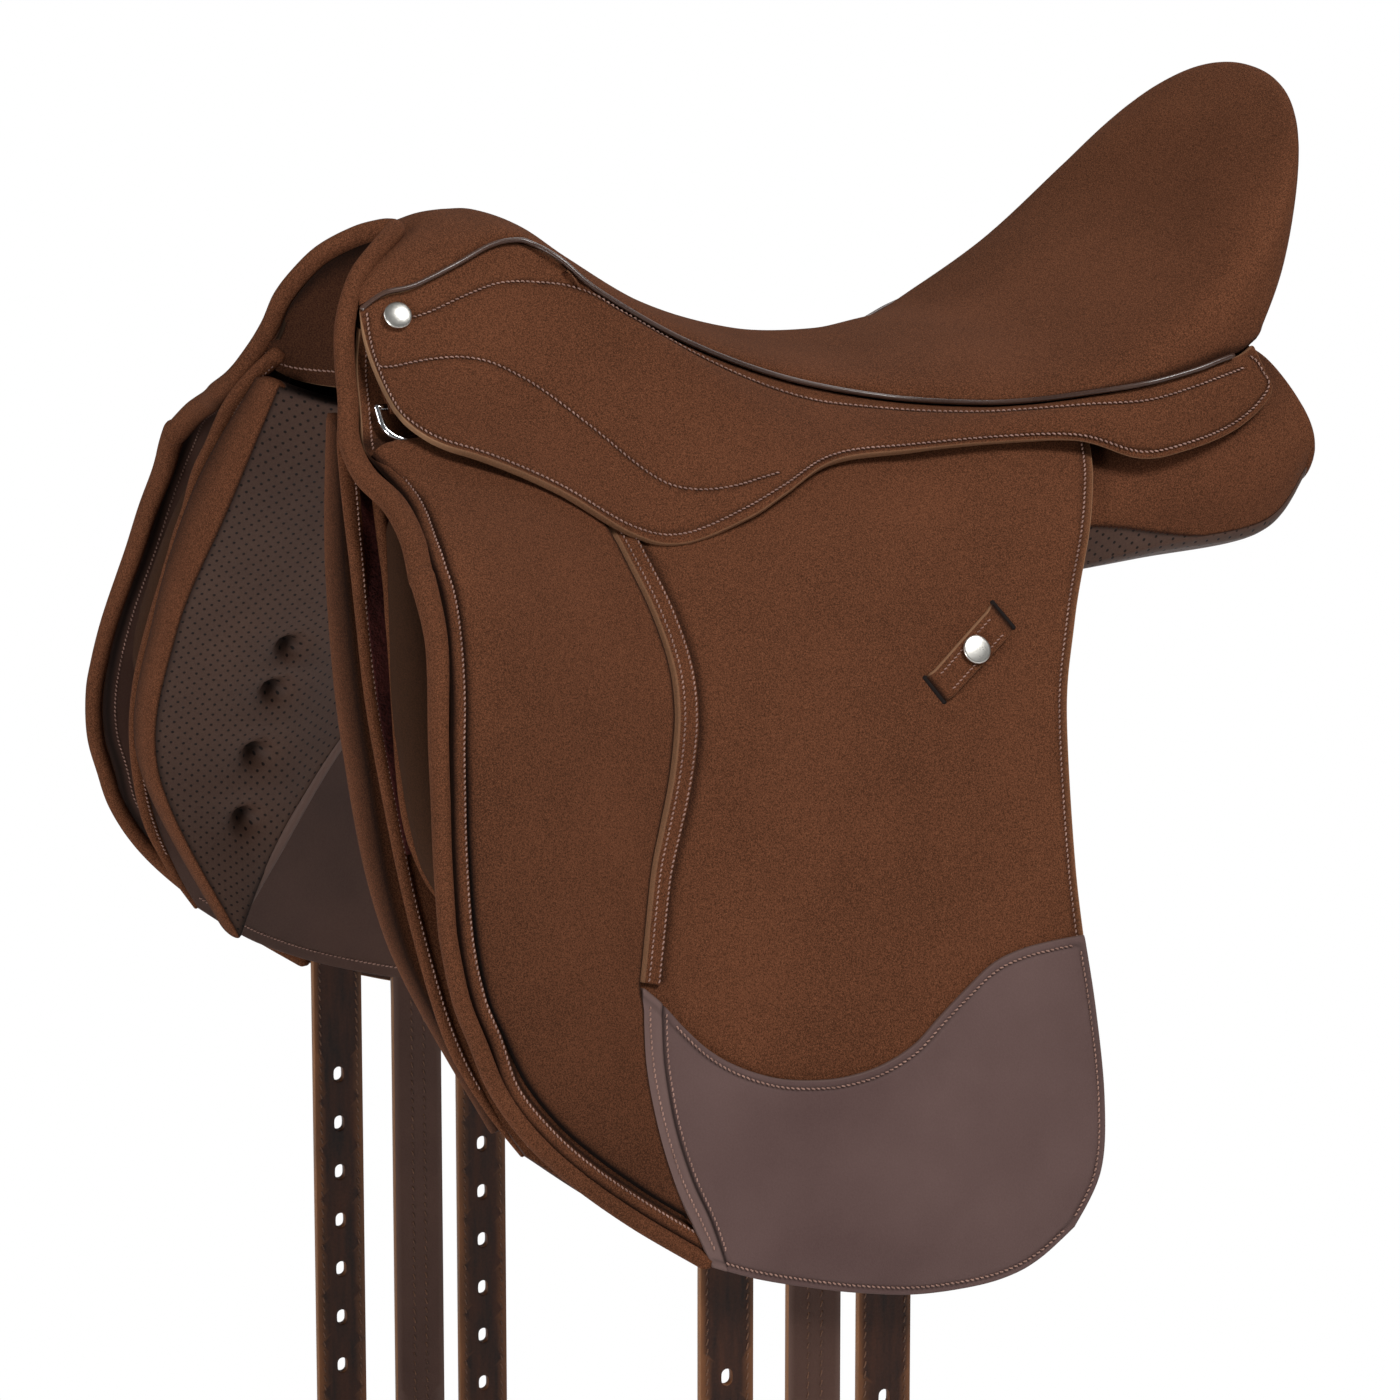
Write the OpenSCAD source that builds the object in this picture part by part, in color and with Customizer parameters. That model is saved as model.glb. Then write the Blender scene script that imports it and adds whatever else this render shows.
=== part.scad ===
// Dressage saddle: lifting flaps and skirts, girth straps, stirrup bars with catches, and front dees.
// X points to the near (left) side, Y to the cantle, Z up. The origin lies under the lowest point of the seat.

/* [Seat] */
// Thickness of the seat cover
cover_t = 2.6; // [2:0.1:3]
// Thickness of the seat foam
foam_t = 9; // [7:0.5:10]
// Thickness of the tree shell
tree_t = 6; // [4:0.5:7]
// Radius of the piping
piping_r = 1.8; // [1.2:0.1:2.2]

/* [Skirt and flap] */
// Thickness of the skirt
skirt_t = 3; // [2:0.1:3.6]
// Thickness of the flap
flap_t = 6; // [4:0.25:6.5]
// Height of the line on which the flap bends when it is lifted
flap_bend_z = 24; // [22:0.5:26]
// Radius of the roll on the flap's front edge
flap_roll_r = 6; // [5:0.25:6.5]
// Radius of the roll round the pommel arch
pommel_roll_r = 5; // [4:0.25:5.5]
// Thickness of the grip patch
grip_t = 1.5; // [1:0.1:2.5]
// Thickness of the sewn band on the flap
band_t = 1.2; // [0.8:0.1:2]
// Height of the padding in front of the band
pad_t = 4; // [2:0.5:6]
// Thickness of the keeper strap
keeper_t = 2.4; // [1.5:0.1:3]
// Radius of the keeper stud
stud_r = 6.5; // [5:0.25:8]

/* [Panel and sweat flap] */
// Thickness of the sweat flap
sweat_t = 3; // [2:0.25:3.25]
// Thickness of the hook and loop strip
loop_t = 1.2; // [0.8:0.1:1.4]

/* [Girth straps] */
// Width of a girth strap
strap_w = 25.4; // [22:0.2:28]
// Thickness of a girth strap
strap_t = 4; // [3:0.25:4.5]
// Distance between two strap holes
hole_pitch = 25.4; // [20:0.2:26]
// Width of a strap hole
hole_w = 5; // [4:0.25:7]
// Length of a strap hole
hole_l = 7.5; // [7.2:0.1:10]
// Number of holes in a strap
hole_count = 9; // [4:1:10]
// Length of a strap below the bend
strap_drop = 300; // [285:5:340]

/* [Metal parts] */
// Radius of the stirrup bar
bar_r = 4.5; // [3.5:0.25:5]
// Length of the stirrup bar
bar_l = 64; // [60:1:70]
// Radius of the pin of the safety catch
catch_pin_r = 2; // [1.5:0.1:2.4]
// Radius of the wire of a dee
dee_wire_r = 1.7; // [1.3:0.1:1.8]
// Width of a dee between the middles of its wires
dee_w = 20; // [18:0.5:21]
// Radius of a nail button
nail_r = 6.25; // [5:0.25:7]

/* [Hidden] */
$fn = 48;
// gap between layers that lie on each other
layer_gap = 0.4;
foam_gap = 1.2;
skin_gap = 0.9;
strip_gap = 1.4;
suede = [0.38, 0.24, 0.16];
lining = [0.24, 0.19, 0.18];
smooth_leather = [0.36, 0.29, 0.27];
foam_colour = [0.75, 0.72, 0.66];
steel = [0.78, 0.78, 0.8];

// interpolation helpers
function clamp01(t) = max(0, min(1, t));
function ease(t) = let (k = clamp01(t)) k * k * (3 - 2 * k);
function mix(a, b, t) = a + (b - a) * t;
function joined(rows) = [for (row = rows) each row];
function unit(v) = v / norm(v);
function steps(n) = [for (i = [0:n]) i / n];
// smooth curve through points, u from 0 at the first to 1 at the last
function spline(p, u) =
    let (n = len(p) - 1, k = min(n - 1, floor(clamp01(u) * n)), t = clamp01(u) * n - k)
    let (a = p[max(0, k - 1)], b = p[k], c = p[k + 1], d = p[min(n, k + 2)])
    b + 0.5 * t * ((c - a) + t * ((2 * a - 5 * b + 4 * c - d) + t * (3 * (b - c) + d - a)));
// smooth value at x from rows [x, value] with rising x
function slope(rows, k) =
    let (a = rows[max(0, k - 1)], b = rows[min(len(rows) - 1, k + 1)]) (b[1] - a[1]) / (b[0] - a[0]);
function value_at(rows, x) =
    let (last = len(rows) - 1, xc = max(rows[0][0], min(rows[last][0], x)))
    let (k = max([for (i = [0:last - 1]) if (xc >= rows[i][0]) i]), step = rows[k + 1][0] - rows[k][0])
    let (t = (xc - rows[k][0]) / step, m0 = slope(rows, k) * step, m1 = slope(rows, k + 1) * step)
    let (v0 = rows[k][1], v1 = rows[k + 1][1])
    v0 + t * (m0 + t * (3 * (v1 - v0) - 2 * m0 - m1 + t * (2 * (v0 - v1) + m0 + m1)));
// patch between four edges: top and bottom run front to rear, front and rear run top to bottom
function patch(top, bottom, front, rear, s, t) =
    mix(spline(top, s), spline(bottom, s), t) + mix(spline(front, t), spline(rear, t), s)
    - mix(mix(top[0], top[len(top) - 1], s), mix(bottom[0], bottom[len(bottom) - 1], s), t);

// solid between two grids of points, the outer one seen with its rows running to the right
module sheet(outer, inner) {
    rows = len(outer);
    cols = len(outer[0]);
    size = rows * cols;
    skin = [for (i = [0:rows - 2], j = [0:cols - 2]) let (a = i * cols + j) [a, a + cols, a + cols + 1, a + 1]];
    rim = concat(
        [for (i = [0:rows - 2]) let (a = i * cols) [a + cols, a, a + size, a + cols + size]],
        [for (i = [0:rows - 2]) let (b = (i + 1) * cols - 1) [b, b + cols, b + cols + size, b + size]],
        [for (j = [0:cols - 2]) [j, j + 1, j + 1 + size, j + size]],
        [for (j = [0:cols - 2]) let (c = (rows - 1) * cols + j) [c + 1, c, c + size, c + 1 + size]]);
    back = [for (q = skin) [q[3] + size, q[2] + size, q[1] + size, q[0] + size]];
    quads = concat(skin, back, rim);
    polyhedron(concat(joined(outer), joined(inner)),
        joined([for (q = quads) [[q[0], q[1], q[2]], [q[0], q[2], q[3]]]]), convexity = 6);
}

// round tube along a list of points
module tube(path, r, sides = 8, up = [0, 0, 1]) {
    last = len(path) - 1;
    points = joined([for (i = [0:last])
        let (along = unit(path[min(last, i + 1)] - path[max(0, i - 1)]))
        let (across = unit(cross(along, up)), rise = cross(along, across))
        [for (k = [0:sides - 1]) path[i] + r * (cos(360 * k / sides) * across + sin(360 * k / sides) * rise)]]);
    walls = joined([for (i = [0:last - 1], k = [0:sides - 1])
        let (a = i * sides + k, b = i * sides + (k + 1) % sides)
        [[a, a + sides, b + sides], [a, b + sides, b]]]);
    ends = joined([for (k = [1:sides - 2])
        [[0, k, k + 1], [last * sides, last * sides + k + 1, last * sides + k]]]);
    polyhedron(points, concat(walls, ends), convexity = 6);
}

module off_side() { mirror([1, 0, 0]) children(); }

// seat: the piping line on the near side and the middle line, station by station from pommel to cantle
piping_line = [[36, -212, 131.5], [38, -208, 134], [39, -196, 136], [37, -176, 143], [31, -157, 149], [28, -144, 150],
    [29, -136, 148], [37, -125, 141], [45, -110, 127], [53, -72, 103], [56, -26, 83], [62, 21, 71], [78, 58, 68],
    [89, 82, 69], [102, 105, 73], [111, 130, 77], [112, 153, 81], [111, 166, 84], [108, 181, 87], [104, 191, 91]];
middle_line = [[-181.8, 152.5], [-179, 154], [-174, 156], [-167, 158], [-156, 158], [-146, 157], [-130, 150.5],
    [-112, 137], [-75, 113], [-32, 94], [10, 83.5], [46, 83], [76, 84], [108, 88], [146, 107], [186, 136],
    [222, 178], [243, 195], [234, 152], [207, 108]];
seat_top_n = 2.2;
// point on the seat, u from pommel to cantle back, v from off piping (-1) to near piping (1)
function seat_point(u, v, drop = 0) =
    let (edge = spline(piping_line, u), mid = spline(middle_line, u), a = 90 * abs(v))
    let (h = pow(sin(a), 2 / seat_top_n), w = 1 - pow(max(0, cos(a)), 2 / seat_top_n))
    let (wy = mix(ease(h), w, clamp01(u * 5)), wz = mix(pow(h, 2.2), w, clamp01(u * 5)))
    let (back = ease((u - 0.8) / 0.16), side = ease((abs(v) - 0.55) / 0.45))
    [sign(v) * (edge[0] * h - drop * side * 0.7), mix(mid[0], edge[1], wy) - drop * back * (1 - 0.3 * side),
        mix(mid[1], edge[2], wz) - drop * (1 - 0.55 * side) * (1 - 0.8 * back)];
function seat_grid(us, vs, drop) = [for (u = us) [for (v = vs) seat_point(u, v, drop)]];
// rows and columns shared by cover, foam and tree, so that their facets run side by side
function seat_rows(a, b) = [for (i = [a:b]) i / 28];
function seat_cols(n) = [for (j = [-n:n]) j / 7];
function span(a, b, n) = [for (t = steps(n)) mix(a, b, t)];

// outer face of the flap: half width at each height for the front edge, the middle and the rear edge
front_face = [[-300, 247], [-216, 246], [-162, 241], [-124, 233], [-91, 222], [-60, 209], [-33, 196], [-5, 184],
    [21, 168], [39, 151], [47, 136], [58, 112], [66, 91], [76, 73], [91, 58], [104, 47], [118, 40]];
middle_face = [[-300, 246], [-261, 244.5], [-216, 238], [-162, 224], [-91, 197.5], [-33, 167], [4, 141], [21, 126],
    [40, 107], [50, 95], [62, 78], [78, 64], [108, 48]];
rear_face = [[-300, 246], [-250, 239], [-148, 213], [-71, 190], [-33, 172], [4, 150], [21, 139], [40, 124], [49, 114],
    [56, 104], [62, 92]];
function flap_x(y, z) =
    let (m = value_at(middle_face, z))
    m + ease((-125 - y) / 110) * (value_at(front_face, z) - m) + ease((y - 10) / 95) * (value_at(rear_face, z) - m);
// outer face of the sweat flap, which leaves room for the knee block at the front
sweat_front = [[-300, 194], [-230, 190], [-187, 185], [-128, 171], [-91, 156], [-59, 139], [-28, 122], [4, 107],
    [35, 88], [62, 66]];
// room for the girth straps, and for the flap's upper edge when it is lifted
function sweat_x(y, z) =
    let (m = flap_x(max(y, -125), z) - 14 - 11 * ease((z + 70) / 70))
    m + ease((-130 - y) / 115) * (value_at(sweat_front, z) - m);

// outlines on the side, as [y, z]
flap_front_edge = [[-239, flap_bend_z - 2], [-244, -5], [-249, -60], [-250, -100], [-246, -140], [-231, -185],
    [-207, -216], [-176, -242], [-143, -264]];
// the flap's skin starts behind its front roll
flap_inner_edge = [for (i = [0:8]) flap_front_edge[i] + (flap_roll_r + 1) * unit([1, 1.5 * pow(i / 8, 2)])];
flap_bottom_edge = [flap_inner_edge[8], [-98, -278], [-49, -288], [-1, -286], [31, -268]];
flap_rear_edge = [[90, flap_bend_z - 2], [71, -16], [57, -55], [49.5, -116], [49.5, -175], [49.5, -214], [45, -245],
    [31, -268]];
function on_flap(yz, lift) = [flap_x(yz[0], yz[1]) + lift, yz[0], yz[1]];
function flap_patch(s, t, lift) =
    on_flap(patch([for (k = steps(4)) [mix(-239 + flap_roll_r + 1, 90, k), flap_bend_z - 2]], flap_bottom_edge,
        flap_inner_edge, flap_rear_edge, s, t), lift);

module tree() color(foam_colour) {
    us = seat_rows(5, 21);
    vs = seat_cols(4);
    top = cover_t + foam_t + 2 * foam_gap;
    sheet(seat_grid(us, vs, top), seat_grid(us, vs, top + tree_t));
}

// blocks that carry the tree on the panels
rail_floor = [[-140, 62], [-70, 57], [0, 54], [70, 54], [120, 60], [150, 68]];
module tree_rails() {
    drop = cover_t + foam_t + tree_t + 2 * foam_gap + 1;
    us = seat_rows(11, 19);
    vs = [3 / 7, 3.5 / 7, 4 / 7];
    module rail() {
        top = seat_grid(us, vs, drop);
        sheet(top, [for (row = top) [for (p = row) [p[0], p[1], min(p[2] - 2, value_at(rail_floor, p[1]) - 0.75)]]]);
    }
    color(foam_colour) rail();
    color(foam_colour) off_side() rail();
}

module seat_foam() color(foam_colour) {
    us = seat_rows(3, 22);
    vs = seat_cols(5);
    top = cover_t + foam_gap;
    sheet(seat_grid(us, vs, top), seat_grid(us, vs, top + foam_t));
}

module seat_cover() color(suede) {
    us = seat_rows(0, 28);
    vs = seat_cols(7);
    sheet(seat_grid(us, vs, 0), seat_grid(us, vs, cover_t));
}

module piping() color(lining) {
    tube([for (u = span(0.04, 0.92, 34)) spline(piping_line, u) + [piping_r + 1, 0, 0.2]], piping_r, 6);
}
module piping_near() piping();
module piping_off() off_side() piping();

// steel arch of the tree, with its screws
arch_outer = [[0, 127], [18, 124], [30, 110], [43, 88], [54, 66]];
arch_inner = [[48, 66], [37, 86], [24, 106], [14, 117], [0, 120]];
function mirrored(line) = [for (i = [len(line) - 1:-1:0]) [-line[i][0], line[i][1]]];
module gullet_plate() color(steel)
    translate([0, -126, 0]) rotate([90, 0, 0]) linear_extrude(52)
        polygon(concat(mirrored(arch_outer), [for (i = [1:4]) arch_outer[i]],
            arch_inner, [for (i = [3:-1:0]) [-arch_inner[i][0], arch_inner[i][1]]]));
module gullet_screws() color(steel)
    for (y = [-152, -136]) translate([0, y, 127.2]) {
        cylinder(r = 5, h = 3);
        translate([0, 0, 2.9]) cylinder(r = 2.5, h = y < -140 ? 6 : 1.4);
    }

// roll round the pommel arch, and the facing behind it
pommel_line = [[147, -237, 39], [133, -237, 47], [109, -238, 58], [88, -240, 66], [71, -239, 76], [57, -234, 91],
    [46, -231, 104], [38, -228, 118], [30, -222, 130], [23, -214, 140], [15, -202, 148], [7, -193, 152], [0, -189, 153]];
pommel_path = concat(pommel_line,
    [for (i = [len(pommel_line) - 2:-1:0]) let (p = pommel_line[i]) [-p[0], p[1], p[2]]]);
module pommel_roll() color(suede)
    tube([for (u = steps(40)) spline(pommel_path, u)], pommel_roll_r, 8, [0, 1, 0]);
// the facing hangs behind the roll down to the arch line
arch_line = [[47, -229, 79], [42, -219, 78], [30, -211, 79], [16, -203, 82], [0, -199, 85]];
arch_path = concat(arch_line,
    [for (i = [len(arch_line) - 2:-1:0]) let (p = arch_line[i]) [-p[0], p[1], p[2]]]);
module pommel_facing() {
    function at(s, t) =
        let (p = spline(pommel_path, mix(0.79, 0.21, s)), top = [p[0] * 0.86, p[1] + 1, p[2] - pommel_roll_r - 0.1])
        mix(top, spline(arch_path, 1 - s), t);
    rows = [for (s = steps(20)) [for (t = steps(3)) at(s, t)]];
    color(suede) sheet(rows, [for (row = rows) [for (p = row) p + [0, 2, 0]]]);
}

module channel_lining() color(lining) {
    rows = [for (y = [-180:24:156]) [for (x = [-26:13:26]) [x, y, value_at(rail_floor, y) + 3 - 0.0005 * x * x]]];
    sheet(rows, [for (row = rows) [for (p = row) p - [0, 0, 2]]]);
}

// facing that closes the back of the seat down to the panels
module cantle_facing() color(lining) {
    vs = span(-0.86, 0.86, 16);
    rows = [for (t = steps(3)) [for (v = vs) let (p = seat_point(1, v))
        mix(p - [0, 5, 2], [p[0] * 0.9, 178, 90], t)]];
    sheet([for (row = rows) [for (p = row) p - [0, 0, 2]]], rows);
}

// webs over which the girth straps hang
module girth_webs() color(foam_colour)
    for (side = [0, 1]) mirror([side, 0, 0]) translate([56, -126, 59.6]) cube([12, 92, 1.4]);

// skirt: its edge from the front corner along the lobe to the rear, with the line on which the lobe bends
skirt_edge = [[90, -215, 79], [108, -191, 73], [120, -160, 58], [125, -127, 36], [125, -103, 29.5], [120, -70, 36.5],
    [112, -48, 44], [101, -22, 52]];
bend_front = [52, -222, 113];
bend_rear = [97, -17, 54.5];
rear_edge = [[98, -15, 55], [101, 18, 55], [107, 59, 56], [118, 94, 55.5], [128, 120, 47], [129, 144, 49],
    [123, 171, 54.5], [113, 197, 66]];
function skirt_top(u) = spline(piping_line, u) + [1.5, 0, -piping_r - 0.2];
bend_u = 10.3 / 19;
// skirt above the bend, then behind it
function skirt_point(s, t) =
    let (u = mix(0.2 / 19, bend_u, s), a = skirt_top(u), b = mix(bend_front, bend_rear, s))
    mix(a, b, t) + [4, 0, 2] * sin(180 * t) * sin(180 * s);
function lobe_point(s, t) =
    let (a = mix(bend_front, bend_rear, s), b = spline(skirt_edge, s), bulge = sin(180 * t) * sin(180 * s))
    mix(a, b, t) + [5, 0, 4] * bulge;
function rear_point(s, t) =
    let (u = mix(bend_u, 18.6 / 19, s), a = skirt_top(u), b = spline(rear_edge, s))
    mix(a, b, t) + [3, 0, 3] * sin(180 * t) * sin(180 * mix(0.2, 1, s));
function inward(grid, t) = [for (row = grid) [for (p = row) p - [0.72, 0, 0.69] * t]];
module skirt() color(suede) {
    front = [for (s = span(0, 1, 14)) [for (t = span(0, 0.985, 3)) skirt_point(s, t)]];
    rear = [for (s = span(0.02, 1, 16)) [for (t = steps(4)) rear_point(s, t)]];
    sheet(front, inward(front, skirt_t));
    sheet(rear, inward(rear, skirt_t));
}
module skirt_lobe() color(suede) {
    grid = [for (s = steps(18)) [for (t = span(0.02, 1, 6)) lobe_point(s, t)]];
    sheet(grid, inward(grid, skirt_t));
}
module skirt_near() skirt();
module skirt_off() off_side() skirt();
module skirt_lobe_near() skirt_lobe();
module skirt_lobe_off() off_side() skirt_lobe();

nail_at = [46, -206, 124];
module nail_buttons() color(steel)
    for (side = [0, 1]) mirror([side, 0, 0]) translate(nail_at + [0.85, -0.25, 0.4]) rotate([0, 62, -12]) {
        cylinder(r = nail_r, h = 1);
        translate([0, 0, 1]) rotate_extrude() intersection() {
            translate([0, -nail_r * 1.6 + 2.4]) circle(r = nail_r * 1.6);
            square([nail_r * 0.95, 4]);
        }
    }

// flap above its bend, fixed to the tree, and the height of its upper edge towards the front
flap_rise = [[-226, 106], [-208, 94], [-192, 80], [-180, 70], [-166, 63], [-150, 56], [-134, 52]];
module flap_top() {
    function at(s, t) =
        let (y = mix(mix(-223, -231, sqrt(t)), mix(101, 90, t), s))
        let (top = y < -134 ? value_at(flap_rise, y) : mix(52, 48, ease((y - 10) / 95)))
        let (z = mix(top, flap_bend_z + 2, t)) [flap_x(y, z), y, z];
    grid = [for (s = steps(20)) [for (t = steps(7)) at(s, t)]];
    color(suede) sheet(grid, [for (row = grid) [for (p = row) p - [4, 0, 3]]]);
}
module flap_top_near() flap_top();
module flap_top_off() off_side() flap_top();

module flap() color(suede) {
    sheet([for (s = steps(13)) [for (t = steps(14)) flap_patch(s, t, 0)]],
        [for (s = steps(13)) [for (t = steps(14)) flap_patch(s, t, -flap_t)]]);
}
module flap_near() flap();
module flap_off() off_side() flap();

module flap_roll() color(suede) {
    line = [for (u = span(0.02, 0.985, 20)) on_flap(spline(flap_front_edge, u), 3 - flap_roll_r)];
    tube(line, flap_roll_r, 8, [1, 0, 0]);
}
module flap_roll_near() flap_roll();
module flap_roll_off() off_side() flap_roll();

// sewn band between the padded front and the rest of the flap
band_line = [[-122, flap_bend_z - 3], [-119, 0], [-119, -20], [-123, -40], [-132, -65], [-142, -86], [-152, -107],
    [-159, -130], [-162, -143]];
band_half = 4.5;
function band_point(s, t) = let (p = spline(band_line, s)) [p[0] + mix(-band_half, band_half, t), p[1]];
module seam_band() color(suede) {
    ss = steps(16);
    sheet([for (t = steps(2)) [for (s = ss) on_flap(band_point(s, t), skin_gap + band_t)]],
        [for (t = steps(2)) [for (s = ss) on_flap(band_point(s, t), skin_gap)]]);
}
module seam_band_near() seam_band();
module seam_band_off() off_side() seam_band();

module knee_pad() {
    function at(s, t) =
        let (z = mix(flap_bend_z - 3, -232, t), f = [for (p = flap_front_edge) [-p[1], p[0]]])
        let (front = value_at(f, -z) + flap_roll_r + 5)
        let (rear = z > -142 ? value_at([for (p = band_line) [-p[1], p[0]]], -z) - band_half - 0.5 : -172)
        [mix(front, max(front + 4, rear), s), z];
    function swell(s, t) = 0.8 + pad_t * sqrt(sin(180 * clamp01(s)) * sin(180 * clamp01(t)));
    ss = steps(8);
    ts = steps(16);
    color(suede) sheet([for (s = ss) [for (t = ts) on_flap(at(s, t), skin_gap + 0.4 + swell(s, t))]],
        [for (s = ss) [for (t = ts) on_flap(at(s, t), skin_gap + 0.4)]]);
}
module knee_pad_near() knee_pad();
module knee_pad_off() off_side() knee_pad();

// smooth grip patch on the lower part of the flap
grip_top = [[-166, -145], [-143, -164], [-105, -186], [-73, -189], [-37, -178], [-6, -159], [20, -149], [47, -147]];
grip_front = [[-166, -145], [-168, -172], [-164, -200], [-155, -236], [-141, -262]];
grip_bottom = [[-141, -262], [-98, -275], [-49, -285], [-2, -283], [28, -266]];
grip_rear = [[47, -147], [48, -175], [47, -214], [42, -244], [28, -266]];
module grip_patch() {
    ss = steps(14);
    ts = steps(6);
    function at(s, t, lift) = on_flap(patch(grip_top, grip_bottom, grip_front, grip_rear, s, t), lift);
    color(smooth_leather) sheet([for (s = ss) [for (t = ts) at(s, t, skin_gap + grip_t)]],
        [for (s = ss) [for (t = ts) at(s, t, skin_gap)]]);
}
module grip_patch_near() grip_patch();
module grip_patch_off() off_side() grip_patch();

// keeper strap on the flap and the stud that closes it
keeper_ends = [[38, -12], [-2, -37.5]];
keeper_half = 5.8;
module keeper() {
    along = unit(keeper_ends[1] - keeper_ends[0]);
    side = [along[1], -along[0]];
    function at(s, t) = mix(keeper_ends[0], keeper_ends[1], s) + side * keeper_half * (1 - 2 * t);
    color(suede) sheet([for (t = steps(2)) [for (s = steps(6)) on_flap(at(s, t), skin_gap + keeper_t)]],
        [for (t = steps(2)) [for (s = steps(6)) on_flap(at(s, t), skin_gap)]]);
}
module keeper_near() keeper();
module keeper_off() off_side() keeper();
module keeper_stud() color(steel)
    translate(on_flap([20, -23], skin_gap + 1.6 + keeper_t)) rotate([0, 62, 0]) {
        cylinder(r = stud_r, h = 1.2);
        translate([0, 0, 1.2]) rotate_extrude() intersection() {
            translate([0, -stud_r * 1.5 + 2]) circle(r = stud_r * 1.5);
            square([stud_r * 0.9, 3]);
        }
    }
module keeper_stud_near() keeper_stud();
module keeper_stud_off() off_side() keeper_stud();

// sweat flap between panel and knee block
sweat_top = [[-238, 52], [-190, 50], [-120, 46], [-50, 43], [8, 40]];
sweat_bottom = [[-214, -214], [-178, -240], [-130, -262], [-70, -276], [-10, -270]];
sweat_edge_front = [[-238, 52], [-246, 4], [-249, -60], [-248, -110], [-240, -158], [-228, -190], [-214, -214]];
sweat_edge_rear = [[8, 40], [16, -40], [22, -120], [24, -200], [14, -245], [-10, -270]];
function on_sweat(yz, lift) = [sweat_x(yz[0], yz[1]) + lift, yz[0], yz[1]];
module sweat_flap() {
    function at(s, t, lift) =
        on_sweat(patch(sweat_top, sweat_bottom, sweat_edge_front, sweat_edge_rear, s, t), lift);
    ss = steps(14);
    ts = steps(11);
    color(lining) sheet([for (s = ss) [for (t = ts) at(s, t, 0)]],
        [for (s = ss) [for (t = ts) at(s, t, -sweat_t)]]);
}
module sweat_flap_near() sweat_flap();
module sweat_flap_off() off_side() sweat_flap();

function sweat_front_y(z) = value_at([for (p = sweat_edge_front) [-p[1], p[0]]], -z);
module loop_strip() {
    function at(s, t) = let (z = mix(48, -84, t)) [sweat_front_y(z) + mix(3, 15, s), z];
    color([0.22, 0.11, 0.1]) sheet([for (s = steps(2)) [for (t = steps(10)) on_sweat(at(s, t), strip_gap + loop_t)]],
        [for (s = steps(2)) [for (t = steps(10)) on_sweat(at(s, t), strip_gap)]]);
}
module loop_strip_near() loop_strip();
module loop_strip_off() off_side() loop_strip();

// knee block that fills the space between sweat flap and flap, and its front edge by depth
block_front = [[-40, -230], [0, -236], [40, -239], [80, -237], [115, -228], [160, -205]];
module knee_block() {
    function yz(s, t) = let (z = mix(40, -160, t)) [mix(value_at(block_front, -z), -158, s), z];
    function at(s, t, outside) =
        let (p = yz(s, t), a = sweat_x(p[0], p[1]) + loop_t + strip_gap + 0.8, b = flap_x(p[0], p[1]) - flap_t - 1.2)
        let (round = pow(sin(180 * mix(0.06, 0.94, s)) * sin(180 * mix(0.05, 0.95, t)), 0.3))
        [outside ? mix(a + 2, b, round) : a, p[0], p[1]];
    ss = steps(9);
    ts = steps(14);
    color(suede) sheet([for (s = ss) [for (t = ts) at(s, t, true)]], [for (s = ss) [for (t = ts) at(s, t, false)]]);
}
module knee_block_near() knee_block();
module knee_block_off() off_side() knee_block();

// panel: inner and outer side as five points per station, from the channel down to the lower edge
panel_inner = [
    [[31, -231, 67], [56, -240, 18], [99, -249, -51], [136, -244, -128], [155, -208, -211]],
    [[30, -196, 66], [52, -198, 30], [102, -202, -42], [143, -196, -116], [162, -190, -178]],
    [[31, -140, 61], [42, -140, 30], [92, -142, -22], [134, -145, -68], [156, -150, -116]],
    [[33, -70, 56], [40, -70, 24], [76, -70, -4], [112, -74, -20], [140, -78, -40]],
    [[35, 0, 53], [42, 0, 17], [76, 0, -7], [100, 0, -12], [122, -2, -17]],
    [[37, 70, 53], [44, 70, 15], [76, 70, -10], [103, 70, -10], [123, 70, -6]],
    [[40, 130, 60], [46, 130, 17], [76, 130, -8], [102, 130, -7], [121, 130, 0]],
    [[46, 174, 75], [52, 184, 26], [78, 194, -2], [100, 193, -2], [115, 189, 3]],
    [[56, 190, 83], [60, 208, 50], [76, 220, 22], [92, 219, 19], [104, 216, 23]]];
panel_outer = [
    [[58, -236, 63], [89, -244, 20], [126, -249, -50], [160, -245, -126], [172, -212, -205]],
    [[62, -196, 58], [92, -198, 10], [131, -200, -52], [162, -194, -118], [166, -187, -181]],
    [[60, -140, 57], [84, -140, 22], [119, -142, -20], [149, -145, -68], [160, -148, -119]],
    [[63, -70, 53], [77, -70, 36], [98, -70, 12], [118, -74, -10], [142, -77, -43]],
    [[64, 0, 52], [75, 0, 38], [92, 0, 20], [106, 0, 6], [126, -2, -17]],
    [[84, 70, 52], [103, 70, 42], [117, 70, 28], [126, 70, 14], [127, 70, -3]],
    [[94, 130, 60], [112, 130, 50], [123, 130, 38], [128, 130, 24], [125, 130, 5]],
    [[90, 176, 79], [106, 181, 67], [118, 187, 48], [122, 190, 29], [118, 189, 9]],
    [[74, 194, 85], [90, 203, 77], [103, 213, 59], [110, 217, 43], [107, 216, 29]]];
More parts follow.
